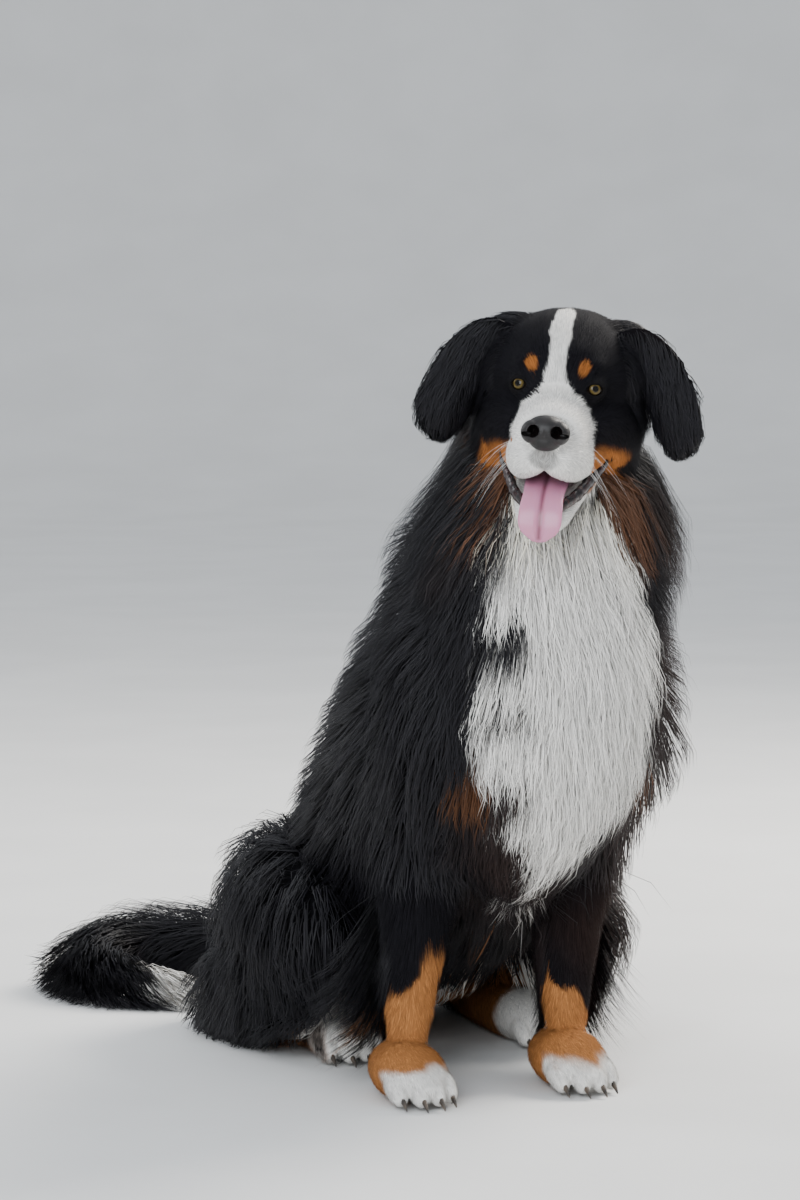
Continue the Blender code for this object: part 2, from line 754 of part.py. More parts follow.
def closed_sheet(outer, inner):
    """Points and triangles of a solid between two grids of points that share their outline's shape."""
    rows, columns = outer.shape[0], outer.shape[1]
    points = np.vstack([outer.reshape(-1, 3), inner.reshape(-1, 3)])
    behind = rows * columns
    faces = []
    for i in range(rows - 1):
        for j in range(columns - 1):
            a, b = i * columns + j, i * columns + j + 1
            c, d = a + columns, b + columns
            faces += [(a, b, c), (b, d, c)]
            faces += [(a + behind, c + behind, b + behind), (b + behind, c + behind, d + behind)]
    rim = [j for j in range(columns)]
    rim += [i * columns + columns - 1 for i in range(1, rows)]
    rim += [(rows - 1) * columns + j for j in range(columns - 2, -1, -1)]
    rim += [i * columns for i in range(rows - 2, 0, -1)]
    for k, a in enumerate(rim):
        b = rim[(k + 1) % len(rim)]
        faces += [(a, a + behind, b), (b, a + behind, b + behind)]
    return points, faces


def recalculated(obj):
    """Turns all the faces of a closed mesh outwards."""
    work = bmesh.new()
    work.from_mesh(obj.data)
    bmesh.ops.recalc_face_normals(work, faces=work.faces)
    if work.calc_volume(signed=True) < 0:
        bmesh.ops.reverse_faces(work, faces=work.faces)
    work.to_mesh(obj.data)
    work.free()
    return obj


def seat(piece, *others):
    """Cuts a piece clear of the bodies that it sits against."""
    for other in others:
        fat = grown(other, "Grown")
        boolean(piece, fat, "DIFFERENCE")
        bpy.data.objects.remove(fat)
    return largest_body(piece)


def make_legs(body):
    """Parts the legs from the trunk, each round its own outline."""
    legs = []
    for side, sign in SIDES.items():
        foot = make_hind_foot(side, sign)
        region = body_stations(HIND_FOOT, sign)
        inner = loft("Region", region, grow=REGION_EDGE, sides=REGION_SIDES, steps=1)
        boolean(body, inner, "DIFFERENCE")
        bpy.data.objects.remove(inner)
        keep = loft("Region", region, grow=REGION_EDGE - GAP, sides=REGION_SIDES, steps=1)
        boolean(foot, keep, "INTERSECT")
        bpy.data.objects.remove(keep)
        legs.append(largest_body(foot))
        regions = []
        for grow in (REGION_EDGE - GAP, REGION_EDGE):
            made = loft("Region", body_stations(THIGH, sign), grow, REGION_SIDES, 1)
            shank = loft("Shank region", body_stations(SHANK, sign), grow, REGION_SIDES, 1)
            boolean(made, shank, "UNION")
            bpy.data.objects.remove(shank)
            regions.append(made)
        legs.append(split(body, "hindleg_" + side, *regions))
        regions = [
            loft("Region", foreleg_region(side), grow, REGION_SIDES, 1) for grow in (-GAP, 0.0)
        ]
        foreleg = split(body, "foreleg_" + side, *regions)
        legs.append(trim(foreleg, Vector((0, 0, FOREPAW_TOP)), Vector((0, 0, -1))))
        legs.append(make_forepaw(side))
    return legs


def foreleg_region(side):
    top, foot = MID_X + SIDES[side] * ELBOW_X, FOREPAW_X[side]
    return [(top + (foot - top) * x, y, z, w, d) for x, y, z, w, d in FORELEG_REGION]


# The coat's locks. Each growth runs down a loft: rows along it, locks round each row, and the
# angles, in degrees, between which they stand: 0 is the dog's left, 90 its front or belly.
LOCK_RINGS = [(0.0, 0.80, -0.35), (0.36, 1.0, 0.50), (0.72, 0.72, 0.90)]  # way along, width, height
LOCK_THICKNESS = 0.009
LOCK_SINK = 0.009
LOCK_REACH = 1.15  # the tips stand a little past the coat's even outline
LOCK_CLEARANCE = 0.0006
LOCK_FLOOR = 0.002
LOCK_JITTER = 0.16
LOCK_SEED = 7
ROOT_MISS = 0.004  # a root this far from a node's surface isn't on that node
SHORTER = [(1.0, 0.0), (1.0, 0.006), (0.75, 0.0), (0.75, 0.008), (0.55, 0.004)]  # length, lift


class Growth:
    """One stretch of coat: where its locks stand, their sizes, and the way that they lie."""

    def __init__(self, stations, count, angles, size, lie, span=(0, 1), run=0.35, height=0.0):
        self.stations, self.angles, self.span = stations, angles, span
        self.rows, self.around = count
        self.length, self.width = size
        self.lie, self.run, self.height, self.level = Vector(lie), run, height, run >= 1

    def roots(self, chance):
        """A ray from the loft's middle line for each lock, with the loft's way there and the coat."""
        line = spline(self.stations, 8)
        tangents = unit(np.gradient(line[:, :3], axis=0))
        low, high = self.angles
        for row in range(self.rows):
            share = (row + 0.5) / self.rows
            at = (self.span[0] + (self.span[1] - self.span[0]) * share) * (len(line) - 1)
            station = line[int(round(at))]
            along = tangents[int(round(at))]
            across, depth_way = ring_axes(along, self.level)
            stagger = 0.25 if row % 2 else 0.75
            for k in range(self.around):
                step = (k + stagger + chance.uniform(-LOCK_JITTER, LOCK_JITTER)) / self.around
                angle = math.radians(low + (high - low) * step)
                way = across * math.cos(angle) + depth_way * math.sin(angle)
                height = self.height or station[3] * (1 - CORE_SHARE) * LOCK_REACH
                yield Vector(station[:3]), Vector(way), Vector(along), height

    def way(self, along, normal):
        """The lie of a lock over a surface with this normal."""
        way = self.lie + along * self.run
        return (way - normal * way.dot(normal)).normalized()


def body_coat(rows, side=1.0):
    return [(MID_X + side * x, y, z, coat) for x, y, z, w, d, coat in rows]


def foreleg_coat(side):
    """The coat along a foreleg, from its stations."""
    return [(x, y, z, row[5]) for (x, y, z, w, d), row in zip(foreleg_stations(FORELEG, side), FORELEG)]


def growths():
    """Each stretch of coat, from the head down, so that an upper lock hangs over a lower one."""
    down, back = (0, 0.10, -1.0), (0, 0.55, -0.85)
    neck, trunk, chest = body_coat(NECK), body_coat(TRUNK), body_coat(CHEST)
    made = [
        Growth(neck, (2, 7), (-90, 270), (0.105, 0.056), down, span=(0.08, 0.42), height=0.034),
        Growth(neck, (2, 8), (-60, 240), (0.115, 0.062), down, span=(0.48, 0.95)),
        Growth(chest, (4, 4), (30, 150), (0.125, 0.060), (0, -0.1, -1.0), span=(0.10, 0.90)),
        Growth(trunk, (6, 6), (155, 385), (0.145, 0.076), back, span=(0.10, 0.88)),
        Growth(body_coat(TAIL), (7, 3), (-175, 25), (0.095, 0.048), (0, 0, 0), (0.08, 0.94), run=1),
    ]
    for side, sign in SIDES.items():
        outer = (-95, 80) if sign > 0 else (100, 275)
        lie = (sign * 0.05, 0.45, -0.9)
        made.append(Growth(body_coat(THIGH, sign), (4, 4), outer, (0.105, 0.055), lie))
        feather = foreleg_coat(side)
        hang = (0, 0.5, -0.9)
        made.append(
            Growth(feather, (3, 2), (-145, -35), (0.085, 0.034), hang, (0, 0.6), height=0.014)
        )
    return made


def tree_of(*objects):
    """A search tree over the faces of one object or several."""
    corners, faces = [], []
    for obj in objects:
        start = len(corners)
        corners += [v.co.copy() for v in obj.data.vertices]
        faces += [[start + v for v in p.vertices] for p in obj.data.polygons]
    return BVHTree.FromPolygons(corners, faces)


def lock(growth, root, normal, along, height, scale, lift, skin, fat=0.0):
    """A flat, tapered lock combed over the surface from its root to its tip."""
    spot, here, at = root, normal, 0.0
    way = growth.way(along, normal)
    length = growth.length * scale
    points = []
    for share, wide, rise in LOCK_RINGS:
        spot, here = combed(skin, spot + way * (share - at) * length, here)
        at = share
        way = growth.way(along, here)
        side = way.cross(here).normalized() * (growth.width * scale * wide / 2 + fat)
        thick = here * (LOCK_THICKNESS * (0.5 + 0.5 * wide) / 2 + fat)
        middle = spot + here * (rise * height + lift if at else -LOCK_SINK)
        points += [middle - side, middle + thick, middle + side, middle - thick]
    spot, here = combed(skin, spot + way * (1 - at) * length, here)
    points.append(spot + here * (height + lift))
    return points, lock_faces(len(LOCK_RINGS))


def combed(skin, spot, normal):
    """The nearest place on the surface, with its normal blended into the one before."""
    near, facing, _, _ = skin.find_nearest(spot)
    return near, (normal + facing * 2).normalized()


def lock_faces(rings):
    faces = [(0, 1, 2), (0, 2, 3)]
    for ring in range(rings - 1):
        for k in range(4):
            a, b = ring * 4 + k, ring * 4 + (k + 1) % 4
            faces += [(a, a + 4, b), (b, a + 4, b + 4)]
    last = (rings - 1) * 4
    faces += [(last + k, rings * 4, last + (k + 1) % 4) for k in range(4)]
    return faces


def clear_of(shape, others):
    if min(point.z for point in shape[0]) < LOCK_FLOOR:
        return False
    tree = BVHTree.FromPolygons(*shape)
    return not any(tree.overlap(other) for other in others)


def grow_locks(skin, nodes, neighbours):
    """Sets locks on the nodes, each clear of every other node, and joins them in one union a node."""
    chance = random.Random(LOCK_SEED)
    cores = {node.name: tree_of(node) for node in nodes}
    trees = {node.name: [cores[node.name]] for node in nodes}
    made = {node.name: [] for node in nodes}
    fixed = [tree_of(other) for other in neighbours]
    for growth in growths():
        for centre, ray, along, height in growth.roots(chance):
            root, normal, _, _ = skin.ray_cast(centre, ray)
            if root is None:
                continue
            owner = min(cores, key=lambda name: cores[name].find_nearest(root)[3])
            if cores[owner].find_nearest(root)[3] > ROOT_MISS:
                continue
            others = fixed + [tree for name in trees if name != owner for tree in trees[name]]
            for scale, lift in SHORTER:
                sizes = (root, normal, along, height, scale, lift, skin)
                if clear_of(lock(growth, *sizes, fat=LOCK_CLEARANCE), others):
                    made[owner].append(lock(growth, *sizes))
                    trees[owner].append(BVHTree.FromPolygons(*made[owner][-1]))
                    break
    for node in nodes:
        join_locks(node, made[node.name])


def join_locks(node, shapes):
    """One union of a node with its locks."""
    if not shapes:
        return
    group = bpy.data.collections.new("Locks")
    for shape in shapes:
        group.objects.link(recalculated(mesh_object("Lock", *shape)))
    union = node.modifiers.new("Locks", "BOOLEAN")
    union.operation = "UNION"
    union.solver = "MANIFOLD"
    union.operand_type = "COLLECTION"
    union.collection = group
    settle(node)
    for piece in list(group.objects):
        bpy.data.objects.remove(piece)
    bpy.data.collections.remove(group)
    largest_body(node)


def main():
    clear_scene()
    coats = {
        "black": material("Black coat", BLACK, 0.55),
        "white": material("White coat", WHITE, 0.6),
        "rust": material("Rust coat", RUST, 0.6),
        "nose": material("Nose leather", NOSE_GREY, 0.35),
        "tongue": material("Tongue", TONGUE_PINK, 0.3),
        "eye": material("Eye", EYE_BROWN, 0.05),
    }
    body = make_body()
    on_floor(body)
    tail = make_tail()
    skin = tree_of(body, *tail)
    frame = head_frame()
    head_point = frame @ HEAD_PLANE[0]
    head_normal = (frame.to_3x3() @ HEAD_PLANE[1]).normalized()
    trim(body, head_point - head_normal * GAP / 2, head_normal)
    legs = make_legs(body)
    neck_point, neck_normal = NECK_PLANE
    neck = copy_of(body, "neck")
    trim(neck, neck_point + neck_normal * GAP / 2, -neck_normal)
    trim(body, neck_point - neck_normal * GAP / 2, neck_normal)
    tail_point, tail_normal = TAIL_CUTS[0]
    trim(body, tail_point - tail_normal * GAP / 2, tail_normal)
    body.name = "torso"

    head = make_head()
    nose = make_nose()
    seat(head, nose)
    jaw = seat(make_jaw(), head)
    tongue = recalculated(loft("tongue", TONGUE, sides=10, steps=2))
    seat(tongue, head)
    seat(jaw, tongue)
    ears = [seat(make_ear(side), head) for side in SIDES]
    eyes = [
        surface_ball("eye_" + side, eye_centre(sign), [EYE_RADIUS] * 3)
        for side, sign in SIDES.items()
    ]
    for piece in [head, nose, jaw, tongue, *ears, *eyes]:
        piece.data.transform(frame)
    seat(neck, jaw)
    feet = [leg for leg in legs if "foot" in leg.name or "paw" in leg.name]
    coated = [head, neck, body, *tail, *[leg for leg in legs if leg not in feet]]
    grow_locks(skin, coated, [*feet, jaw, tongue, nose, *ears, *eyes])

    finishes = [
        ("black", [body, neck, head, *ears, *tail]),
        ("rust", legs),
        ("white", [jaw]),
        ("nose", [nose]),
        ("tongue", [tongue]),
        ("eye", eyes),
    ]
    for coat, pieces in finishes:
        for piece in pieces:
            piece.data.materials.clear()
            piece.data.materials.append(coats[coat])
            piece.data.transform(Matrix.Translation(-CENTRE))


main()
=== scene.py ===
"""A life-size sitting Bernese mountain dog: skin, coat, eyes, nose, mouth and claws, in a plain studio.

Metres, +Z up. The dog looks towards -Y and its left side is +X. The stations below are laid out
from the forefeet, x = 0 and y = 0 midway between them, and ORIGIN sets them in the model's frame.
"""

import math

import bmesh
import bpy
import numpy as np
from mathutils import Euler, Matrix, Vector
from mathutils.bvhtree import BVHTree
from mathutils.kdtree import KDTree


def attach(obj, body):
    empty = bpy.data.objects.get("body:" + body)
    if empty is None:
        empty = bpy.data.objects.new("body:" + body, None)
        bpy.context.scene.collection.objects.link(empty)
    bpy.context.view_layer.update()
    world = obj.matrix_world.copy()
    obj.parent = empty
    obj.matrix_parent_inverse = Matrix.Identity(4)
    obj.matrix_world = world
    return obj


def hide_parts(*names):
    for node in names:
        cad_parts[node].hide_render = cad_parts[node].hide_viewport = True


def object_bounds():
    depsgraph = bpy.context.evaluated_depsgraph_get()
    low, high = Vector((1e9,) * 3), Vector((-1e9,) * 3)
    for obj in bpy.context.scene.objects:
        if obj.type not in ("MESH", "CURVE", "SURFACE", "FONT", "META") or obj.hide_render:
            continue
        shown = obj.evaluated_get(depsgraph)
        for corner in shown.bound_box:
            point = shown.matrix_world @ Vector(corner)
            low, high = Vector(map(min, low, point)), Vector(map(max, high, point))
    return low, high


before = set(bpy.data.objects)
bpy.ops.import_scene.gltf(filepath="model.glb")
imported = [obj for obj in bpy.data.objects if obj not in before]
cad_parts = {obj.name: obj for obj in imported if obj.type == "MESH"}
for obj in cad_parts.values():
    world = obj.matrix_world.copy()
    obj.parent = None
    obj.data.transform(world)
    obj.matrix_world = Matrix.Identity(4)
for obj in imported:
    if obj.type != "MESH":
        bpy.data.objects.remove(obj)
CAD_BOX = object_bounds()

# Where the figure stands in the frame, and how its head is held
ORIGIN = np.array([-0.0125, -0.3134, 0.0])
MID_X = 0.042
HEAD_CENTRE = Vector((0.0504, -0.0867, 0.827)) + Vector(ORIGIN)
HEAD_YAW = math.radians(-30.0)
HEAD_PITCH = math.radians(2.0)
HEAD_ROLL = math.radians(4.2)
EYE_RADIUS = 0.0125
EYE_PLACE = Vector((0.0390, -0.0840, -0.0055))
NOSE_PLACE = Vector((0.0, -0.194, -0.046))
FOREPAW_X = {"left": 0.090, "right": -0.112}
ELBOW_X = 0.095
SIDES = {"left": 1.0, "right": -1.0}
SIGNS = tuple(SIDES.values())


def mm(rows):
    """Rows given in millimetres, in metres."""
    return np.round(np.array(rows) / 1000, 7)


# Stations of each loft: x, y, z, half width, half depth, coat. x counts from the trunk's middle plane.
TRUNK = mm([
    (8, -20, 610, 92, 92, 42),
    (4, 30, 530, 125, 132, 42),
    (0, 90, 440, 145, 158, 42),
    (0, 170, 350, 146, 162, 42),
    (0, 260, 270, 140, 152, 42),
    (0, 350, 200, 134, 130, 38),
    (0, 430, 145, 125, 105, 35),
    (0, 505, 105, 90, 75, 35),
])
CHEST = mm([
    (0, -15, 660, 85, 80, 50),
    (2, -35, 570, 105, 85, 55),
    (-4, -40, 470, 106, 85, 55),
    (-8, -25, 385, 90, 78, 55),
    (-8, 0, 325, 62, 60, 50),
])
NECK = mm([
    (10, -48, 810, 76, 72, 58),
    (18, -34, 745, 91, 88, 70),
    (20, -20, 680, 98, 94, 60),
    (12, -2, 610, 106, 104, 50),
    (6, 15, 550, 115, 120, 46),
])
SHOULDER = mm([
    (55, 90, 600, 45, 60, 35),
    (88, 30, 500, 50, 70, 40),
    (103, 0, 420, 48, 65, 40),
    (103, 40, 340, 45, 60, 35),
    (95, 65, 280, 38, 48, 30),
])
THIGH = mm([
    (100, 515, 125, 42, 62, 44),
    (120, 450, 150, 60, 96, 44),
    (145, 360, 155, 61, 91, 44),
    (165, 270, 155, 52, 72, 43),
    (174, 205, 148, 36, 49, 42),
])
SHANK = mm([
    (174, 220, 125, 34, 44, 44),
    (178, 330, 85, 38, 46, 46),
    (174, 440, 62, 42, 44, 48),
    (145, 505, 55, 38, 40, 44),
])
HIND_FOOT = mm([
    (132, 465, 45, 28, 32, 12),
    (125, 400, 40, 28, 32, 12),
    (120, 320, 32, 28, 28, 10),
    (124, 262, 31, 36, 28, 7),
    (128, 225, 27, 41, 27, 6),
    (130, 200, 22, 30, 19, 6),
])
# The forelegs' x runs from the elbow to the paw, and is given in thousandths of that way.
FORELEG = mm([
    (0, 66, 310, 42, 52, 26),
    (280, 52, 220, 34, 39, 12),
    (570, 32, 140, 29, 32, 8),
    (710, 17, 100, 30, 31, 7),
    (880, 2, 55, 29, 30, 6),
])
FOREPAW = mm([
    (1000, 24, 34, 28, 26, 6),
    (1000, -18, 34, 39, 31, 6),
    (1000, -52, 28, 41, 27, 6),
    (1000, -76, 21, 30, 18, 6),
])
TAIL = mm([
    (0, 520, 115, 32, 34, 30),
    (0, 610, 84, 30, 30, 40),
    (-20, 710, 60, 28, 28, 48),
    (-70, 800, 51, 26, 26, 52),
    (-145, 850, 50, 24, 24, 54),
    (-215, 835, 46, 22, 22, 50),
    (-255, 770, 39, 19, 19, 42),
    (-240, 705, 32, 16, 16, 34),
    (-205, 660, 26, 12, 12, 30),
    (-170, 630, 19, 8, 8, 24),
])

# The head's lofts, in its own frame: the nose points to -Y and the origin is the skull's middle.
SKULL = mm([
    (0, 95, -12, 48, 48, 18),
    (0, 60, -2, 74, 62, 16),
    (0, 15, 2, 84, 64, 12),
    (0, -30, 2, 79, 59, 10),
    (0, -58, -1, 66, 47, 7),
    (0, -76, -10, 46, 34, 5),
])
EAR_MOUND = mm([
    (30, 20, 40, 20, 18, 10),
    (58, 12, 42, 22, 18, 10),
    (82, 4, 32, 16, 15, 8),
])
CHEEK = mm([
    (30, 50, -50, 35, 40, 22),
    (48, 10, -50, 34, 42, 20),
    (50, -35, -52, 28, 36, 12),
    (40, -70, -55, 22, 28, 7),
])
MUZZLE = mm([
    (0, -50, -48, 52, 40, 6),
    (0, -90, -50, 42, 36, 5),
    (0, -130, -54, 38, 34, 5),
    (0, -152, -56, 37, 32, 5),
    (0, -165, -59, 30, 25, 4),
    (0, -175, -56, 21, 19, 3),
])
FLEW = mm([
    (44, -72, -78, 12, 20, 5),
    (33, -110, -80, 13, 22, 5),
    (24.5, -150, -79, 15, 21, 5),
    (12.5, -171, -78, 14, 17, 4),
])
BROW = mm([
    (40, -45, 28, 18, 14, 6),
    (34, -78, 18, 14, 10, 4),
])
JAW = mm([
    (0, -42, -108, 44, 20, 7),
    (0, -80, -120, 38, 18, 6),
    (0, -120, -133, 32, 16, 5),
    (0, -152, -145, 26, 14, 5),
    (0, -166, -150, 18, 10, 4),
])
TONGUE = mm([
    (0, -60, -94, 18, 6),
    (0, -90, -98, 21, 6),
    (0, -125, -107, 24, 6),
    (0, -160, -118, 22.5, 5.6),
    (0, -178, -132, 23.6, 5),
    (0, -184, -148, 23.6, 4.6),
    (0, -184, -158, 19.2, 4.2),
    (0, -183, -165, 11, 3.6),
])
LOWER_LIP = mm([
    (55, -44, -84, 3),
    (57, -66, -91, 5.5),
    (46, -104, -106, 7.8),
    (34, -140, -121, 7.6),
    (16, -166, -134, 6.2),
    (0, -172, -138, 5.2),
])
EAR_FRONT_EDGE = mm([
    (44, -20, 50),
    (88, -32, 64),
    (132, -33, 33),
    (159, -28, -24),
    (157, -24, -60),
    (141, -20, -73),
])
EAR_REAR_EDGE = mm([
    (56, 46, 22),
    (84, 30, 6),
    (98, 14, -21),
    (108, 0, -45),
    (119, -8, -65),
    (131, -16, -75),
])
EAR_ROWS, EAR_COLUMNS = 24, 12
EAR_CUP = 0.020
EAR_THICKNESS = 0.007
EAR_EDGE = 0.25  # the share of its thickness that the ear keeps at its edges

EYE_TURN = 0.36
EYE_HALF_WIDTH, EYE_HALF_HEIGHT = 0.0109, 0.0062  # of the opening between the lids
GAZE_LIFT = 0.11  # how far the iris sits above the middle of the opening
LID_THICKNESS = 0.0024
LID_RADIUS = 0.0011
LID_SET = 0.55  # how far out in the lid its rim sits
LID_POINTS = 11

NOSE_LUMPS = [
    ((0, 0.006, 0.001), (0.0235, 0.018, 0.0165)),
    ((0, 0.004, -0.0095), (0.0185, 0.0135, 0.0125)),
    ((0.0150, -0.001, -0.001), (0.0122, 0.0120, 0.0130)),
]
NOSTRIL_PLACE = (0.0128, -0.012, 0.0005)
NOSTRIL_SIZES = (0.0064, 0.0190, 0.0070)
SLIT_PLACE = (0.0128 + 0.006, -0.012 + 0.004, 0.0005 - 0.0035)
SLIT_SIZES = (0.0080, 0.010, 0.0028)
PAD_SIZES = np.array([0.0235, 0.0205, 0.0190])
PAD_GROOVE, PAD_GROOVE_SIZES = (0, -0.013, -0.008), (0.0009, 0.004, 0.014)

TOES = [(-0.0305, -0.058), (-0.0105, -0.072), (0.0105, -0.072), (0.0305, -0.058)]
TOE_RADIUS = 0.0108

# Linear colours of the coat and the bare skin
BLACK = np.array([0.0085, 0.0080, 0.0105])
BROWN = np.array([0.045, 0.022, 0.014])
RUST = np.array([0.44, 0.155, 0.038])
TAN = np.array([0.46, 0.190, 0.062])
WHITE = np.array([0.86, 0.84, 0.80])
CREAM = np.array([0.80, 0.72, 0.50])
LEATHER = np.array([0.010, 0.009, 0.010])
PAD_GREY = np.array([0.010, 0.009, 0.009])
# Painted shade deep inside the nostrils and on the skin under the nose pad
NOSTRIL_SHADE = np.array([0.004, 0.002, 0.002])
MOUTH = np.array([0.050, 0.014, 0.010])

# Of short fur, how much lies inside the skin's own outline
SKIN_SHARE, LEG_SHARE, FOOT_SHARE = 0.6, 0.3, 0.45
# How far bare skin reaches: as times the eyes' openings, from the mouth's corners and above the soles
BARE_RIM, BARE_CORNER, BARE_SOLE = 1.15, 0.007, 0.003
FOOT_END = [[0.82, 0.74], [0.60, 0.60]]  # how a foot's last two rings narrow, in width and depth
BODY_VOXEL, HEAD_VOXEL, FOOT_VOXEL = 0.0042, 0.0018, 0.0022
LUMP_VOXEL, PAD_VOXEL = 0.0009, 0.0008
# The plane across the neck where the fine head meets the body, and the height of the soles
COLLAR_HEIGHT, COLLAR_WAY, COLLAR_OVERLAP = 0.66, Vector((0.0, -0.243, 0.970)), 0.006
SOLE = 0.0008
SEED = 11


def spline(rows, steps):
    """Rows of numbers, read at even steps along a smooth curve through them."""
    rows = np.array(rows, float)
    ends = np.vstack([2 * rows[0] - rows[1], rows, 2 * rows[-1] - rows[-2]])
    a, b, c, d = (ends[i : len(ends) - 3 + i, None] for i in range(4))
    t = (np.arange(steps) / steps)[None, :, None]
    found = 0.5 * (
        2 * b
        + (c - a) * t
        + (2 * a - 5 * b + 4 * c - d) * t**2
        + (3 * b - a - 3 * c + d) * t**3
    )
    return np.vstack([found.reshape(-1, rows.shape[1]), rows[-1:]])


def unit(vectors):
    vectors = np.asarray(vectors, float)
    return vectors / np.maximum(np.linalg.norm(vectors, axis=-1, keepdims=True), 1e-9)


def ramp(value, low, high):
    """0 below low, 1 above high, and smooth between them."""
    t = np.clip((value - low) / (high - low), 0, 1)
    return t * t * (3 - 2 * t)


def mix(a, b, share):
    share = np.asarray(share)[..., None]
    return a * (1 - share) + b * share


def head_frame():
    turn = Euler((HEAD_PITCH, 0, 0)).to_matrix().to_4x4()
    turn = Matrix.Rotation(HEAD_ROLL, 4, "Y") @ turn
    turn = Matrix.Rotation(HEAD_YAW, 4, "Z") @ turn
    return Matrix.Translation(HEAD_CENTRE) @ turn


HEAD = head_frame()
HEAD_TURN = np.array(HEAD.to_3x3())
HEAD_ORIGIN = np.array(HEAD.translation)


def out_of_head(points):
    return np.asarray(points, float) @ HEAD_TURN.T + HEAD_ORIGIN


def into_head(points):
    return (points - HEAD_ORIGIN) @ HEAD_TURN


def ear_grid(side):
    """The ear's middle sheet, rows down from its root and columns from the front edge to the rear."""
    front, rear = spline(EAR_FRONT_EDGE, 6), spline(EAR_REAR_EDGE, 6)
    at = np.linspace(0, len(front) - 1, EAR_ROWS + 1)
    front = np.stack([np.interp(at, range(len(front)), front[:, k]) for k in range(3)], 1)
    rear = np.stack([np.interp(at, range(len(rear)), rear[:, k]) for k in range(3)], 1)
    share = np.linspace(0, 1, EAR_COLUMNS + 1)[None, :, None]
    middle = front[:, None] * (1 - share) + rear[:, None] * share
    out = unit(np.cross(np.gradient(middle, axis=1), np.gradient(middle, axis=0)))
    if out[EAR_ROWS // 2, EAR_COLUMNS // 2] @ np.array([1.0, -1.0, 0.3]) < 0:
        out = -out
    bow = np.sin(np.pi * share) * np.sin(np.pi * np.linspace(0.15, 0.95, EAR_ROWS + 1))[:, None, None]
    middle = middle + out * bow * EAR_CUP
    thick = (EAR_EDGE + (1 - EAR_EDGE) * np.sin(np.pi * share)) * EAR_THICKNESS / 2
    turn = np.array([SIDES[side], 1, 1])
    return middle * turn, out * turn, thick


def ear_stations(side):
    """The ear read as a loft's stations, for the coat that grows along it."""
    middle = ear_grid(side)[0]
    centre = middle[::4, EAR_COLUMNS // 2]
    half = np.linalg.norm(middle[::4, 0] - middle[::4, -1], axis=1) / 2
    return [(*c, h, h, 0.011) for c, h in zip(centre, half)]


class Stretch:
    """One loft of the body, with the coat that grows on it.

    lie and run: a hair points along lie + run times the loft's own way. slope: a hair's length as
    times the coat's depth. side: -1 mirrors the stations and the lie to the right. kind: body, leg,
    head or ear. share: of the coat's depth, how much lies inside the skin. level: the rings' width
    stays level. foot: it belongs with the toes, as all of the forelegs do, and narrows at its end.
    """

    def __init__(
        self, piece, rows, lie, run, slope, habits, side=1.0, kind="body", share=0.0, level=False, foot=False
    ):
        rows = np.array(rows, float)
        way = np.array(lie, float) * [side, 1, 1]
        if kind == "body":
            rows[:, 0] = MID_X + side * rows[:, 0]
            rows[:, :3] += ORIGIN
        elif kind == "leg":
            top, end = MID_X + side * ELBOW_X, FOREPAW_X["left" if side > 0 else "right"]
            rows[:, 0] = top + (end - top) * rows[:, 0]
            rows[:, :3] += ORIGIN
        else:
            rows[:, 0] *= side
            rows[:, :3] = out_of_head(rows[:, :3])
            way = HEAD_TURN @ way
        self.piece, self.kind, self.rows, self.lie, self.run = piece, kind, rows, way, run
        self.share, self.level, self.foot = share, level, foot or kind == "leg"
        self.habits = {**habits, "slope": slope}

    def guides(self):
        """Along the loft: its stations, its own ways, the hair's ways and the skin's radius."""
        line = spline(self.rows, 6)
        tangents = unit(np.gradient(line[:, :3], axis=0))
        ways = unit(self.lie + self.run * tangents)
        radius = (line[:, 3] + line[:, 4]) / 2 + self.share * line[:, 5]
        return line, tangents, ways, radius

    def loft(self):
        rows = self.rows[:, :5].copy()
        rows[:, 3:] += self.share * self.rows[:, 5:6]
        if self.foot:
            rows[-2:, 3:] *= FOOT_END
        turn = HEAD_TURN if self.kind == "head" else None
        return loft(self.piece, rows, level=self.level, turn=turn)


def placed(name, data):
    """A new object for a mesh, light or camera, put into the scene."""
    obj = bpy.data.objects.new(name, data)
    bpy.context.scene.collection.objects.link(obj)
    return obj


def mesh_object(name, points, faces):
    mesh = bpy.data.meshes.new(name)
    mesh.from_pydata([tuple(p) for p in points], [], faces)
    return placed(name, mesh)


def built(name, work):
    """An object of what a bmesh holds."""
    mesh = bpy.data.meshes.new(name)
    work.to_mesh(mesh)
    work.free()
    return placed(name, mesh)


def joined(name, pieces):
    """One object in place of several."""
    work = bmesh.new()
    for piece in pieces:
        work.from_mesh(piece.data)
        bpy.data.objects.remove(piece)
    return built(name, work)


def tube_faces(rings, sides):
    """The four-sided faces between each ring of points and the next."""
    faces = []
    for start in range(0, (rings - 1) * sides, sides):
        for s in range(sides):
            near, far = start + s, start + (s + 1) % sides
            faces.append((near, far, far + sides, near + sides))
    return faces


def thin_faces(rings):
    """The triangles along a tube with three points to a ring."""
    return [face for a, b, c, d in tube_faces(rings, 3) for face in ((a, b, d), (b, c, d))]


def ring_axes(along, level=False, turn=None):
    """The ways across a ring and down its depth, for one way along or a row of them."""
    sideways = np.array([1.0, 0, 0]) if turn is None else turn[:, 0]
    across = np.cross(along, [0, 0, 1.0]) if level else sideways - (along @ sideways)[..., None] * along
    across = unit(across)
    return across, np.cross(along, across)


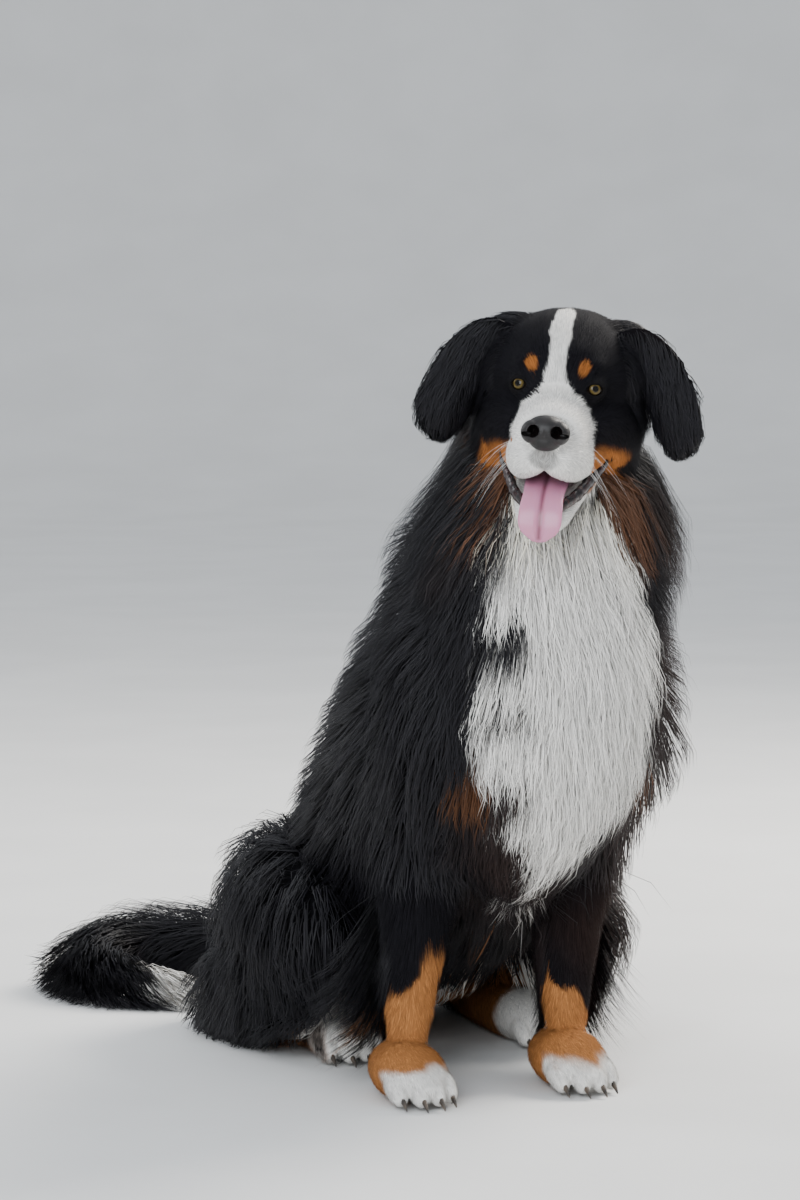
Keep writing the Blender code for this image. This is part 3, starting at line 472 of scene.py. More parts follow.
def loft(name, stations, sides=24, steps=4, level=False, turn=None):
    """A closed tube with oval rings and rounded ends. Stations are x, y, z, half width, half depth."""
    rows = spline(stations, steps)
    centres, widths, depths = rows[:, :3], rows[:, 3], rows[:, 4]
    along = unit(np.gradient(centres, axis=0))
    caps = [(math.sin(math.radians(a)), math.cos(math.radians(a))) for a in (75, 45)]
    rings = [(0, -out, size) for out, size in caps]
    rings += [(i, 0.0, 1.0) for i in range(len(rows))]
    rings += [(len(rows) - 1, out, size) for out, size in reversed(caps)]
    index = np.array([r[0] for r in rings])
    out = np.array([r[1] for r in rings])[:, None]
    size = np.array([r[2] for r in rings])[:, None, None]
    across, depth_way = ring_axes(along[index], level, turn)
    middle = centres[index] + along[index] * out * np.minimum(widths, depths)[index][:, None]
    angles = (np.arange(sides) * 2 * math.pi / sides)[None, :, None]
    points = (
        middle[:, None]
        + across[:, None] * np.cos(angles) * widths[index][:, None, None] * size
        + depth_way[:, None] * np.sin(angles) * depths[index][:, None, None] * size
    )
    faces = [tuple(reversed(range(sides))), *tube_faces(len(rings), sides)]
    faces.append(tuple((len(rings) - 1) * sides + s for s in range(sides)))
    return mesh_object(name, points.reshape(-1, 3), faces)


def settle(obj):
    """Makes the object's modifiers part of its mesh."""
    graph = bpy.context.evaluated_depsgraph_get()
    mesh = bpy.data.meshes.new_from_object(obj.evaluated_get(graph))
    mesh.transform(obj.matrix_world)
    obj.modifiers.clear()
    obj.data = mesh
    obj.matrix_world = Matrix.Identity(4)
    return obj


def fused(name, pieces, voxel, smoothing, share=1.0):
    """One smooth closed body grown over overlapping pieces, with a share of its faces kept."""
    obj = joined(name, pieces)
    remesh = obj.modifiers.new("Grow together", "REMESH")
    remesh.mode = "VOXEL"
    remesh.voxel_size = voxel
    smooth = obj.modifiers.new("Soften", "SMOOTH")
    smooth.factor = 0.5
    smooth.iterations = smoothing
    settle(obj)
    if share < 1:
        obj.modifiers.new("Fewer faces", "DECIMATE").ratio = share
        settle(obj)
    return obj


def boolean(obj, other, operation):
    cut = obj.modifiers.new(operation.title(), "BOOLEAN")
    cut.operation = operation
    cut.solver = "MANIFOLD"
    cut.object = other
    settle(obj)
    bpy.data.objects.remove(other)
    return obj


def trim(obj, point, normal):
    """Cuts away what lies beyond a plane, on the side of its normal."""
    points = [(x, y, z) for z in (0, 1) for y in (-1, 1) for x in (-1, 1)]
    faces = [(0, 2, 3, 1), (4, 5, 7, 6), (0, 1, 5, 4), (2, 6, 7, 3), (0, 4, 6, 2), (1, 3, 7, 5)]
    block = mesh_object("Block", points, faces)
    turn = Vector(normal).to_track_quat("Z", "Y").to_matrix().to_4x4()
    block.data.transform(Matrix.Translation(point) @ turn)
    return boolean(obj, block, "DIFFERENCE")


def ball(name, centre, sizes, segments=24, rings=16):
    work = bmesh.new()
    place = Matrix.Translation(centre) @ Matrix.Diagonal((*sizes, 1.0))
    bmesh.ops.create_uvsphere(work, u_segments=segments, v_segments=rings, radius=1.0, matrix=place)
    return built(name, work)


def recalculated(obj):
    """Turns all the faces of a closed mesh outwards."""
    work = bmesh.new()
    work.from_mesh(obj.data)
    bmesh.ops.recalc_face_normals(work, faces=work.faces)
    if work.calc_volume(signed=True) < 0:
        bmesh.ops.reverse_faces(work, faces=work.faces)
    work.to_mesh(obj.data)
    work.free()
    return obj


def arrays(obj):
    """A mesh's points and point normals."""
    mesh = obj.data
    points = np.zeros(len(mesh.vertices) * 3)
    mesh.vertices.foreach_get("co", points)
    normals = np.zeros(len(mesh.vertices) * 3)
    mesh.vertices.foreach_get("normal", normals)
    return points.reshape(-1, 3), normals.reshape(-1, 3)


def smooth_shaded(obj):
    obj.data.polygons.foreach_set("use_smooth", [True] * len(obj.data.polygons))
    return obj


def in_head(obj):
    obj.data.transform(HEAD)
    return obj


# The habits of long coat and short fur. width: of a tuft. dense: tufts to a square metre. free: how far
# the tips hang clear of the skin. clump: how far they gather. wave: how far they bend sideways.
LONG = dict(width=0.0021, dense=25000, free=0.12, clump=0.50, wave=0.0035)
FINE = dict(width=0.0013, dense=140000, free=0.12, clump=0.30, wave=0.0045)
RUFF = {**FINE, "dense": 110000}
BRUSH = {**FINE, "width": 0.0016, "dense": 60000, "free": 0.35}
HAUNCH = {**LONG, "free": 0.2}
EAR = dict(width=0.0015, dense=120000, free=0.2, clump=0.45, wave=0.003)
EAR_TOP = dict(width=0.0013, dense=150000, free=0.0, clump=0.3, wave=0.002)
SHORT = dict(width=0.0009, dense=560000, free=0.0, clump=0.10, wave=0.0)
CHEEK_FUR = {**SHORT, "width": 0.0011, "dense": 340000, "clump": 0.25}
LEG_FUR = {**SHORT, "width": 0.0012, "dense": 145000, "clump": 0.25}
PAW_FUR = {**SHORT, "width": 0.0010, "dense": 260000}
HIND_FUR = {**SHORT, "width": 0.0011, "dense": 200000}


def stretches():
    """Every stretch of the coat: its piece, stations, lie, run, slope, habits, and how it is placed."""
    made = [
        Stretch("coat_back", TRUNK, (0, 0.55, -0.85), 0.30, 1.9, LONG),
        Stretch("coat_chest", CHEST, (0, -0.08, -1.0), 0.2, 1.9, FINE),
        Stretch("coat_ruff", NECK, (0, 0.10, -1.0), 0.3, 1.8, RUFF),
        Stretch("coat_tail", TAIL, (0, 0, -0.25), 1.0, 2.0, BRUSH, level=True),
    ]
    for side, sign in SIDES.items():
        ear, body, leg = ear_stations(side), (sign, "body", FOOT_SHARE, False, True), (sign, "leg")
        made += [
            Stretch("coat_back", SHOULDER, (0, 0.25, -0.95), 0.3, 1.9, LONG, sign),
            Stretch("coat_haunches", THIGH, (0.05, 0.30, -1.0), 0.8, 1.9, HAUNCH, sign),
            Stretch("coat_haunches", SHANK, (0.05, 0.30, -1.0), 0.5, 1.7, HAUNCH, sign),
            Stretch("coat_legs", FORELEG, (0, 0.15, -1), 0.6, 2.4, LEG_FUR, *leg, LEG_SHARE),
            Stretch("coat_legs", FOREPAW, (0, -0.5, -0.6), 0.5, 2.4, PAW_FUR, *leg, FOOT_SHARE),
            Stretch("coat_legs", HIND_FOOT, (0, -0.3, -0.5), 0.8, 2.4, HIND_FUR, *body),
            Stretch("coat_ears", ear, (sign * 0.28, 0.05, -1), 0.6, 4.0, EAR, kind="ear"),
        ]
    head = (1.0, "head", SKIN_SHARE)
    made += [
        Stretch("coat_head", SKULL, (0, 0.3, 0.05), -1.0, 4.2, SHORT, *head),
        Stretch("coat_face", MUZZLE, (0, 0.1, -0.15), -1.0, 4.4, SHORT, *head),
        Stretch("coat_face", JAW, (0, 0.3, -0.5), -0.6, 4.5, SHORT, *head),
    ]
    for sign in SIGNS:
        head = (sign, "head", SKIN_SHARE)
        made += [
            Stretch("coat_ears", EAR_MOUND, (0.6, 0.1, -0.6), 0.6, 6.5, EAR_TOP, *head),
            Stretch("coat_head", CHEEK, (0.2, 0.8, -0.8), 0.1, 3.4, CHEEK_FUR, *head),
            Stretch("coat_face", FLEW, (0.15, 0.7, -0.6), -0.2, 3.4, SHORT, *head),
            Stretch("coat_head", BROW, (0.3, 0.6, 0.5), -0.3, 3.2, SHORT, *head),
        ]
    return made


def eye_centre(sign):
    return Vector((sign * EYE_PLACE.x, EYE_PLACE.y, EYE_PLACE.z))


def eye_axes(sign):
    """The way the eye looks, and the ways across and up from it, in the head's frame."""
    look = Vector((sign * EYE_TURN, -1.0, 0.04)).normalized()
    across = look.cross(Vector((0, 0, 1))).normalized()
    return look, across, across.cross(look)


def lid_rim(sign, height):
    """The bare rim of one eyelid: a thin roll over the eyeball from corner to corner."""
    look, across, up = eye_axes(sign)
    stations = []
    for angle in np.linspace(0, math.pi, LID_POINTS):
        sideways, rise = EYE_HALF_WIDTH * math.cos(angle), height * math.sin(angle)
        forward = math.sqrt(EYE_RADIUS**2 - sideways**2 - rise**2)
        way = look * forward + across * sideways + up * rise
        place = eye_centre(sign) + way.normalized() * (EYE_RADIUS + LID_THICKNESS * LID_SET)
        stations.append((*place, LID_RADIUS, LID_RADIUS))
    return loft("Lid", stations, sides=10, steps=2)


def eye_opening(sign):
    """An almond-shaped space in front of the eyeball: what two large balls share."""
    look, _, up = eye_axes(sign)
    reach = EYE_HALF_WIDTH**2 / EYE_HALF_HEIGHT
    size, shift = (reach + EYE_HALF_HEIGHT) / 2, (reach - EYE_HALF_HEIGHT) / 2
    middle = eye_centre(sign) + look * EYE_RADIUS
    hole, other = (
        recalculated(in_head(ball("Opening", middle + up * rise, [size] * 3, 48, 32)))
        for rise in (shift, -shift)
    )
    return boolean(hole, other, "INTERSECT")


def rim_reach(head):
    """How far each place is from the middle of its eye's opening, where 1 is the opening's edge."""
    least = np.full(len(head), 9.0)
    for sign in SIGNS:
        look, across, up = (np.array(way) for way in eye_axes(sign))
        out = head - np.array(eye_centre(sign))
        reach = np.hypot(out @ across / EYE_HALF_WIDTH, out @ up / EYE_HALF_HEIGHT)
        near = (out @ look > 0) & (np.linalg.norm(out, axis=1) < EYE_RADIUS + 0.006)
        least = np.where(near, np.minimum(least, reach), least)
    return least


def make_ear(side):
    middle, out, thick = ear_grid(side)
    outer, inner = middle + out * thick, middle - out * thick
    points = np.vstack([outer.reshape(-1, 3), inner.reshape(-1, 3)])
    columns = EAR_COLUMNS + 1
    behind = (EAR_ROWS + 1) * columns
    faces = []
    for i in range(EAR_ROWS):
        for j in range(EAR_COLUMNS):
            a = i * columns + j
            faces.append((a, a + 1, a + 1 + columns, a + columns))
            faces.append((a + behind, a + columns + behind, a + 1 + columns + behind, a + 1 + behind))
    rim = list(range(columns))
    rim += [i * columns + columns - 1 for i in range(1, EAR_ROWS + 1)]
    rim += [EAR_ROWS * columns + j for j in range(columns - 2, -1, -1)]
    rim += [i * columns for i in range(EAR_ROWS - 1, 0, -1)]
    for k, a in enumerate(rim):
        b = rim[(k + 1) % len(rim)]
        faces.append((a, a + behind, b + behind, b))
    return in_head(recalculated(mesh_object("Ear", points, faces)))


def toes(x, y):
    made = []
    for across, front in TOES:
        stations = [
            (x + across * 0.8, y + front + 0.034, 0.030, TOE_RADIUS, TOE_RADIUS),
            (x + across, y + front + 0.006, 0.024, TOE_RADIUS, TOE_RADIUS * 1.25),
            (x + across, y + front - 0.010, 0.014, TOE_RADIUS * 0.85, TOE_RADIUS),
        ]
        made.append(loft("Toe", stations, sides=14, steps=3))
    return made


def toe_roots():
    """Where each paw's toes start from."""
    for side, sign in SIDES.items():
        yield FOREPAW_X[side] + ORIGIN[0], ORIGIN[1]
        yield MID_X + sign * HIND_FOOT[4][0] + ORIGIN[0], HIND_FOOT[4][1] + 0.050 + ORIGIN[1]


def make_skin(coats):
    """One closed skin over the whole animal, finer over the head than over the body."""
    body = [c.loft() for c in coats if c.kind in ("body", "leg") and not c.foot]
    body = fused("skin", body, BODY_VOXEL, 4, 0.5)
    feet = [c.loft() for c in coats if c.foot]
    for sign in SIGNS:
        feet.append(Stretch("", FORELEG[3:], (0, 0, 0), 0, 0, SHORT, sign, "leg", FOOT_SHARE).loft())
    for x, y in toe_roots():
        feet += toes(x, y)
    boolean(body, fused("Feet", feet, FOOT_VOXEL, 1, 0.4), "UNION")
    head = [c.loft() for c in coats if c.kind == "head"]
    neck = next(c for c in coats if c.piece == "coat_ruff")
    head.append(neck.loft())
    for side in SIDES:
        head.append(make_ear(side))
    for sign in SIGNS:
        head.append(in_head(ball("Lids", eye_centre(sign), [EYE_RADIUS + LID_THICKNESS] * 3)))
    head = fused("Head", head, HEAD_VOXEL, 3)
    for sign in SIGNS:
        boolean(head, eye_opening(sign), "DIFFERENCE")
    heights = (EYE_HALF_HEIGHT, -EYE_HALF_HEIGHT)
    rims = [in_head(lid_rim(sign, height)) for sign in SIGNS for height in heights]
    head = fused("Head", [head, *rims], HEAD_VOXEL * 0.7, 2, 0.2)
    for sign in SIGNS:
        socket = ball("Socket", eye_centre(sign), [EYE_RADIUS] * 3, 40, 28)
        boolean(head, in_head(socket), "DIFFERENCE")
    point = Vector((MID_X, 0.0, COLLAR_HEIGHT)) + Vector(ORIGIN)
    trim(head, point - COLLAR_WAY * COLLAR_OVERLAP, -COLLAR_WAY)
    trim(body, point, COLLAR_WAY)
    boolean(body, head, "UNION")
    trim(body, Vector((0, 0, SOLE)), Vector((0, 0, -1)))
    body.name = "skin"
    return smooth_shaded(body)


class Coat:
    """All the guides of the stretches in one table, read at any place on the skin."""

    HABITS = ("slope", "width", "dense", "free", "clump", "wave")
    CHUNK = 8000
    BLEND = 0.008  # how far over the border between two stretches their hair mixes

    def __init__(self, coats):
        rows = []
        for number, stretch in enumerate(coats):
            line, tangents, ways, radius = stretch.guides()
            habits = [stretch.habits[h] for h in self.HABITS]
            for k in range(len(line)):
                depth = line[k, 5] * (1 - stretch.share)
                place = [number, k / (len(line) - 1), *tangents[k]]
                rows.append([*line[k, :3], *ways[k], radius[k], depth, *habits, *place])
        self.table = np.array(rows, np.float32)

    def read(self, places):
        """For each place: way, depth, habits, the nearest stretch's number, share along and angle."""
        table = self.table
        ways = np.zeros((len(places), 3))
        values = np.zeros((len(places), 1 + len(self.HABITS)))
        nearest = np.zeros(len(places), int)
        centres = table[:, :3]
        for start in range(0, len(places), self.CHUNK):
            part = slice(start, start + self.CHUNK)
            some = places[part].astype(np.float32)
            away = (some**2).sum(1)[:, None] + (centres**2).sum(1) - 2 * some @ centres.T
            away = np.sqrt(np.maximum(away, 0)) - table[:, 6]
            nearest[part] = away.argmin(1)
            weight = np.exp((away.min(1)[:, None] - away) / self.BLEND)
            weight /= weight.sum(1)[:, None]
            ways[part] = weight @ table[:, 3:6]
            values[part] = weight @ table[:, 7 : 8 + len(self.HABITS)]
        row = table[nearest]
        number, share, along = row[:, -5].astype(int), row[:, -4], row[:, -3:]
        across, depth_way = ring_axes(along)
        out = places - row[:, :3]
        angle = np.arctan2((out * depth_way).sum(1), (out * across).sum(1))
        return unit(ways), values, number, share, angle


def wobble(places, size, seed):
    """A smooth random push for each place, changing over about the given size."""
    chance = np.random.default_rng(seed)
    total = np.zeros((len(places), 3))
    for octave in (1.0, 2.1, 4.3):
        turn = chance.normal(size=(3, 3, 3)) * octave * 2 / size
        shift = chance.uniform(0, 2 * math.pi, (3, 3))
        for wave in range(3):
            total += np.sin(places @ turn[wave] + shift[wave]) / octave
    return total / 3


# The blaze's half width and middle by height in the head's frame, and the bib's by height
BLAZE_HEIGHTS, BLAZE_WIDTHS, BLAZE_MIDDLES = mm([
    (-50, -25, -18, -10, 3, 18, 34, 53),
    (46, 38, 30, 19, 12.5, 9.5, 10, 11.8),
    (0, 0, 0, -1, 0, -2, -2, -3),
])
BIB_HEIGHTS, BIB_WIDTHS, BIB_MIDDLES = mm([
    (225, 260, 295, 325, 360, 394, 464, 522, 576, 637, 670, 700, 740),
    (0, 14, 36, 60, 86, 104, 109, 104, 100, 66, 56, 40, 16),
    (-4, 0, 4, 8, 2, -4, -6, -1, -4, -12, -18, -26, -30),
])
# Ovals of dark coat that cut into the bib from its right, and of brown on the throat: place, sizes
BIB_NOTCHES = [
    ((-0.088, 0.545), (0.028, 0.022)),
    ((-0.090, 0.462), (0.034, 0.011)),
    ((-0.088, 0.372), (0.034, 0.020)),
]
THROAT_SPOTS = [((0.070, 0.690), (0.034, 0.060)), ((-0.082, 0.700), (0.014, 0.045))]
BROW_DOT = (0.0295, 0.0180, 0.0072)
MOUTH_CORNER = np.array([0.060, -0.056, -0.086])


def head_marking(places):
    """Black, with a white blaze and muzzle, rust cheeks and two rust dots over the eyes."""
    x, y, z = into_head(places).T
    side = np.abs(x)
    colour = np.tile(BLACK, (len(places), 1))
    cheek = patch(side, z, (0.052, -0.104), (0.038, 0.033)) * ramp(y, -0.002, -0.016)
    low = ramp(z, -0.112, -0.130)
    colour = mix(colour, mix(RUST, BROWN * 1.6, low), cheek * ramp(side, 0.092, 0.084))
    dot = np.hypot(side - BROW_DOT[0], (z - BROW_DOT[1]) * 0.95) / BROW_DOT[2]
    colour = mix(colour, RUST * 0.8, ramp(dot, 1.15, 0.85) * ramp(y, -0.05, -0.06))
    width = np.interp(z, BLAZE_HEIGHTS, BLAZE_WIDTHS) * ramp(y, 0.075, -0.03)
    away = np.abs(x - np.interp(z, BLAZE_HEIGHTS, BLAZE_MIDDLES))
    white = ramp(away, width + 0.0018, width - 0.0018) * ramp(y, 0.030, 0.005)
    white = np.where(z < -0.020, white * ramp(y, -0.078, -0.084), white)
    white = np.maximum(white, ramp(y, -0.111, -0.117))
    chin = ramp(z, -0.104, -0.110) * ramp(side, 0.046, 0.038) * ramp(y, -0.01, -0.03)
    colour = mix(colour, WHITE, np.maximum(white, chin))
    # Grey hair under the nose pad, partly painted shade where the pad shades the upper lip.
    nose_grey_and_shade = patch(x, z, (0.0, -0.076), (0.018, 0.012)) * ramp(y, -0.15, -0.16)
    freckle = patch(x, z, (-0.043, -0.062), (0.0016, 0.0026)) * ramp(y, -0.11, -0.12)
    return mix(mix(colour, WHITE * 0.30, nose_grey_and_shade * 0.7), RUST * 0.9, freckle)


def patch(a, b, centre, sizes):
    """1 in the middle of an oval patch of coat, falling to 0 past its edge."""
    away = np.hypot((a - centre[0]) / sizes[0], (b - centre[1]) / sizes[1])
    return ramp(away, 1.25, 0.8)


def body_marking(places):
    """Black, with a white bib, rust beside it and on the lower legs, white toes and tail tip."""
    x, y, z = (places - ORIGIN).T
    middle = x - MID_X
    colour = np.tile(BLACK, (len(places), 1))
    front = ramp(y, 0.035, 0.005)
    rust = patch(np.abs(middle), z, (0.110, 0.380), (0.011, 0.030))
    colour = mix(colour, RUST * 0.12 + BROWN * 0.5, rust * ramp(y, 0.06, 0.03))
    throat = sum(patch(middle, z, *spot) for spot in THROAT_SPOTS)
    colour = mix(colour, BROWN * 1.3 + RUST * 0.10, np.minimum(throat, 1) * front)
    width = np.interp(z, BIB_HEIGHTS, BIB_WIDTHS)
    away = np.abs(middle - np.interp(z, BIB_HEIGHTS, BIB_MIDDLES))
    white = ramp(away, width + 0.004, width - 0.004) * front
    for spot in BIB_NOTCHES:
        white *= 1 - patch(middle, z, *spot)
    colour = mix(colour, mix(WHITE, CREAM, ramp(z, 0.60, 0.68) * 0.5), white)
    fore = ramp(y, 0.12, 0.09) * ramp(z, 0.30, 0.25)
    foot = np.where(x > -0.011, FOREPAW_X["left"] - x, x - FOREPAW_X["right"])
    edge = 0.122 + 1.1 * np.clip(foot, -0.035, 0.035)
    colour = mix(colour, TAN, ramp(z, edge + 0.006, edge - 0.006) * fore)
    colour = mix(colour, WHITE, ramp(y, -0.030, -0.045) * ramp(z, 0.050, 0.038))
    hind = ramp(np.abs(middle), 0.172, 0.160) * ramp(z, 0.085, 0.07) * ramp(y, 0.12, 0.14)
    colour = mix(colour, TAN * 0.8, hind * ramp(y, 0.46, 0.42))
    colour = mix(colour, WHITE, hind * ramp(y, 0.285, 0.265))
    tip = np.hypot(x - MID_X + 0.178, y - 0.638)
    return mix(colour, WHITE, ramp(tip, 0.050, 0.036))


def marking(places, headness):
    """The coat's colour at each place, with ragged edges."""
    ragged = places + wobble(places, 0.05, 3) * 0.010
    fine = places + wobble(places, 0.022, 4) * 0.0024
    colour = mix(body_marking(ragged), head_marking(fine), ramp(headness, 0.35, 0.65))
    dark = ramp(colour.max(1), 0.05, 0.02)
    # Painted sunlit sheen, partly sun-bleached tips: the black coat turns brown, most on its left (+X) side
    # where the light falls.
    sunlit_sheen = ramp(wobble(places, 0.20, 5)[:, 0] + places[:, 0] * 3.0, 0.1, 1.1)
    return mix(colour, BROWN, dark * sunlit_sheen * 0.40)


def scatter(skin, dense, chance):
    """Roots spread over the skin, as many as the coat there needs, each with its normal."""
    mesh = skin.data
    mesh.calc_loop_triangles()
    corners = np.zeros(len(mesh.loop_triangles) * 3, int)
    mesh.loop_triangles.foreach_get("vertices", corners)
    points, normals = arrays(skin)
    corners = corners.reshape(-1, 3)
    a, b, c = (points[corners[:, k]] for k in range(3))
    area = np.linalg.norm(np.cross(b - a, c - a), axis=1) / 2
    want = area * dense[corners].mean(1) * bare(points)[corners].min(1)
    count = np.floor(want + chance.random(len(want))).astype(int)
    which = np.repeat(np.arange(len(corners)), count)
    u, v = chance.random(len(which)), chance.random(len(which))
    flip = u + v > 1
    u[flip], v[flip] = 1 - u[flip], 1 - v[flip]
    w = 1 - u - v
    share = np.stack([w, u, v], 1)[:, :, None]
    places = (points[corners[which]] * share).sum(1)
    facing = unit((normals[corners[which]] * share).sum(1))
    return places, facing


def bare(points):
    """1 where fur grows, and 0 on the eyes' rims, under the nose pad, inside the mouth and under the feet."""
    head = into_head(points)
    grows = np.ones(len(points))
    grows *= rim_reach(head) > BARE_RIM
    grows *= nose_reach(head) > 1.0
    grows *= 1 - mouth_inside(head)
    grows *= corner_distance(head) > BARE_CORNER
    grows *= points[:, 2] > BARE_SOLE
    return grows


def mirrored(places):
    """Places with those on the right brought over to the left."""
    return places * np.where(places[:, :1] < 0, [-1, 1, 1], [1, 1, 1])


def corner_distance(head):
    """How far each place is from the nearer corner of the mouth."""
    return np.linalg.norm(mirrored(head) - MOUTH_CORNER, axis=1)


def nose_reach(head):
    """How far each place is from the middle of the nose pad, where 1 is the edge of the skin under it."""
    return np.linalg.norm((head - np.array(NOSE_PLACE)) / PAD_SIZES, axis=1)


def mouth_inside(head):
    """1 on the roof, the floor and the corners of the open mouth, from places in the head's frame."""
    x, y, z = head.T
    roof = -0.094 + 0.06 * np.clip(y + 0.17, 0, 0.2)
    floor = -0.128 + 0.30 * np.clip(y + 0.165, 0, 0.12)
    width = np.interp(-y, (0.05, 0.10, 0.15, 0.175), (0.046, 0.034, 0.022, 0.006))
    return ((z < roof) & (z > floor) & (np.abs(x) < width) & (y > -0.176) & (y < -0.03)).astype(float)


RINGS = np.array([0.0, 0.25, 0.52, 0.80, 1.0])
RISE = np.array([-0.12, 0.45, 0.78, 0.95, 1.0])
BREADTH = np.array([0.55, 1.0, 0.90, 0.55, 0.0])
SIDE_LEAN = 0.7  # how far a tuft's edges face sideways rather than out of the coat
GUARD_SHARE = 0.12  # of all tufts, how many are longer, thinner guard hairs
LEFT_FULLNESS = 0.020  # how much higher the coat stands on the left shoulder and ruff
LEG_GAIN, ELBOW_GAIN, SEAT_GAIN = 0.125, 0.022, 0.030  # how much longer the hair is there
HANG = -0.35  # how strongly loose tips hang down
SWAY_SIZE, SWAY, MESS = 0.14, 0.24, 0.11  # how the hair's ways drift, over what size, and how they scatter
LOCK_TUFTS = 14  # about how many tufts gather to a lock
WAVE_LENGTH = 0.045
FLOOR_GAP, STRAY = 0.0025, 0.010  # hair's least height, and how far it may reach out sideways


def feather(places, normals):
    """Metres that the hair gains behind the forelegs and on the haunches, and its way there."""
    x, y, z = (places - ORIGIN).T
    middle = x + 0.011
    outward = np.sign(middle) * np.sign(np.abs(middle) - 0.100)
    behind = ramp(normals[:, 1] + 0.6 * normals[:, 0] * outward, 0.05, 0.55)
    foreleg = ramp(y, 0.13, 0.11) * ramp(z, 0.105, 0.16) * ramp(z, 0.37, 0.31)
    upper = foreleg * ramp(z, 0.14, 0.20)
    seat = ramp(y, 0.16, 0.22) * ramp(z, 0.17, 0.10) * ramp(np.abs(x - MID_X), 0.12, 0.17)
    gain = LEG_GAIN * foreleg * behind + ELBOW_GAIN * upper + SEAT_GAIN * seat
    push = np.zeros(places.shape)
    push[:, 0] = (0.65 * foreleg * behind + 0.25 * seat) * np.sign(middle)
    push[:, 1] = 0.35 * foreleg * behind + 0.15 * seat
    return gain, push


def comb(skin_tree, roots, normals, ways, lengths, rises, free, push):
    """The middle line of each tuft: laid over the skin ring by ring, with freer tips hanging straight."""
    lines = np.zeros((len(roots), len(RINGS), 3))
    facings = np.zeros_like(lines)
    lines[:, 0] = roots + normals * (RISE[0] * rises)[:, None]
    facings[:, 0] = normals
    drop = unit(ways + normals * 0.15 + push * 0.6 + np.array([0, 0, HANG]))
    for i in range(len(roots)):
        spot, here = Vector(roots[i]), Vector(normals[i])
        way = Vector(ways[i])
        hang, length, rise = free[i], lengths[i], rises[i]
        for k in range(1, len(RINGS)):
            along = way - here * way.dot(here)
            along.normalize()
            spot = spot + along * (RINGS[k] - RINGS[k - 1]) * length
            near, facing, _, _ = skin_tree.find_nearest(spot)
            spot, here = near, (here + facing * 2).normalized()
            lines[i, k] = spot + here * (RISE[k] * rise)
            facings[i, k] = here
        if hang:
            straight = roots[i] + drop[i] * RINGS[:, None] * length + normals[i] * rise * 0.7
            share = (hang * RINGS**1.5)[:, None]
            lines[i] = lines[i] * (1 - share) + straight * share
    return lines, facings


def gathered(lines, clump, chance, every):
    """Draws each tuft's tip towards the nearest of a few leading tufts, so that locks form."""
    lead = np.sort(chance.choice(len(lines), max(1, len(lines) // every), replace=False))
    tree = KDTree(len(lead))
    for k, i in enumerate(lead):
        tree.insert(Vector(lines[i, 1]), k)
    tree.balance()
    own = np.array([tree.find(Vector(line[1]))[1] for line in lines])
    pull = (clump[:, None] * RINGS[None, :] ** 1.5)[:, :, None]
    return lines + (lines[lead[own]] - lines) * pull, own


def grow_coat(skin, coats, coat, dense):
    """Every tuft of the coat, as arrays that the coat's pieces are cut from."""
    chance = np.random.default_rng(SEED)
    roots, normals = scatter(skin, dense, chance)
    ways, values, number, share, angle = coat.read(roots)
    depth, slope, width, _, free, clump, wave = values.T
    kinds = np.array([c.kind for c in coats])[number]
    loose = np.where(np.isin(kinds, ("head", "leg")), 0.35, 1.0)[:, None]
    ways = unit(ways + (wobble(roots, SWAY_SIZE, 1) * SWAY + chance.normal(size=ways.shape) * MESS) * loose)
    gain, push = feather(roots, normals)
    ways = unit(ways + push)
    ways = unit(ways - normals * (ways * normals).sum(1)[:, None])
    guard = chance.random(len(roots)) < GUARD_SHARE
    lengths = (depth * slope + gain) * chance.uniform(0.75, 1.15, len(roots)) * np.where(guard, 1.15, 1.0)
    rises = depth * chance.uniform(0.40, 1.0, len(roots)) * np.where(guard, 1.15, 1.0)
    rises = rises * np.where(kinds == "head", 0.7, 1.0)
    across, _, height = (roots - ORIGIN).T
    full = ramp(across - MID_X, 0.06, 0.11) * ramp(height, 0.34, 0.44) * (kinds == "body")
    rises += LEFT_FULLNESS * full * chance.uniform(0.5, 1.0, len(roots))
    width = width * np.where(guard, 0.55, 1.0)
    free = np.clip(free + gain * 9, 0, 0.9)
    faces = [tuple(p.vertices) for p in skin.data.polygons]
    tree = BVHTree.FromPolygons([tuple(p) for p in arrays(skin)[0]], faces)
    lines, facings = comb(tree, roots, normals, ways, lengths, rises, free, push)
    lines, own = gathered(lines, clump, chance, LOCK_TUFTS)
    forward = unit(np.gradient(lines, axis=1))
    side = unit(np.cross(forward, facings))
    phase = chance.uniform(0, 2 * math.pi, own.max() + 1)[own]
    swing = np.sin(RINGS[None, :] * (lengths / WAVE_LENGTH)[:, None] * 2 * math.pi + phase[:, None])
    lines = lines + side * (swing * RINGS[None, :] * wave[:, None])[:, :, None]
    lines[:, :, 2] = np.maximum(lines[:, :, 2], FLOOR_GAP)
    lines[:, :, 0] = np.clip(lines[:, :, 0], CAD_BOX[0][0] - STRAY, CAD_BOX[1][0] + STRAY)
    names = np.array([c.piece for c in coats])[number]
    return dict(
        lines=lines,
        side=side,
        facings=facings,
        width=width * chance.uniform(0.7, 1.3, len(roots)),
        number=number,
        share=share,
        angle=angle,
        head=np.isin(kinds, ("head", "ear")).astype(float),
        tone=chance.uniform(0.75, 1.3, len(roots)),
        dice=chance.random(len(roots)),
        roots=roots,
        names=np.where((gain > 0.03) & (kinds == "leg"), "coat_feathers", names),
    )


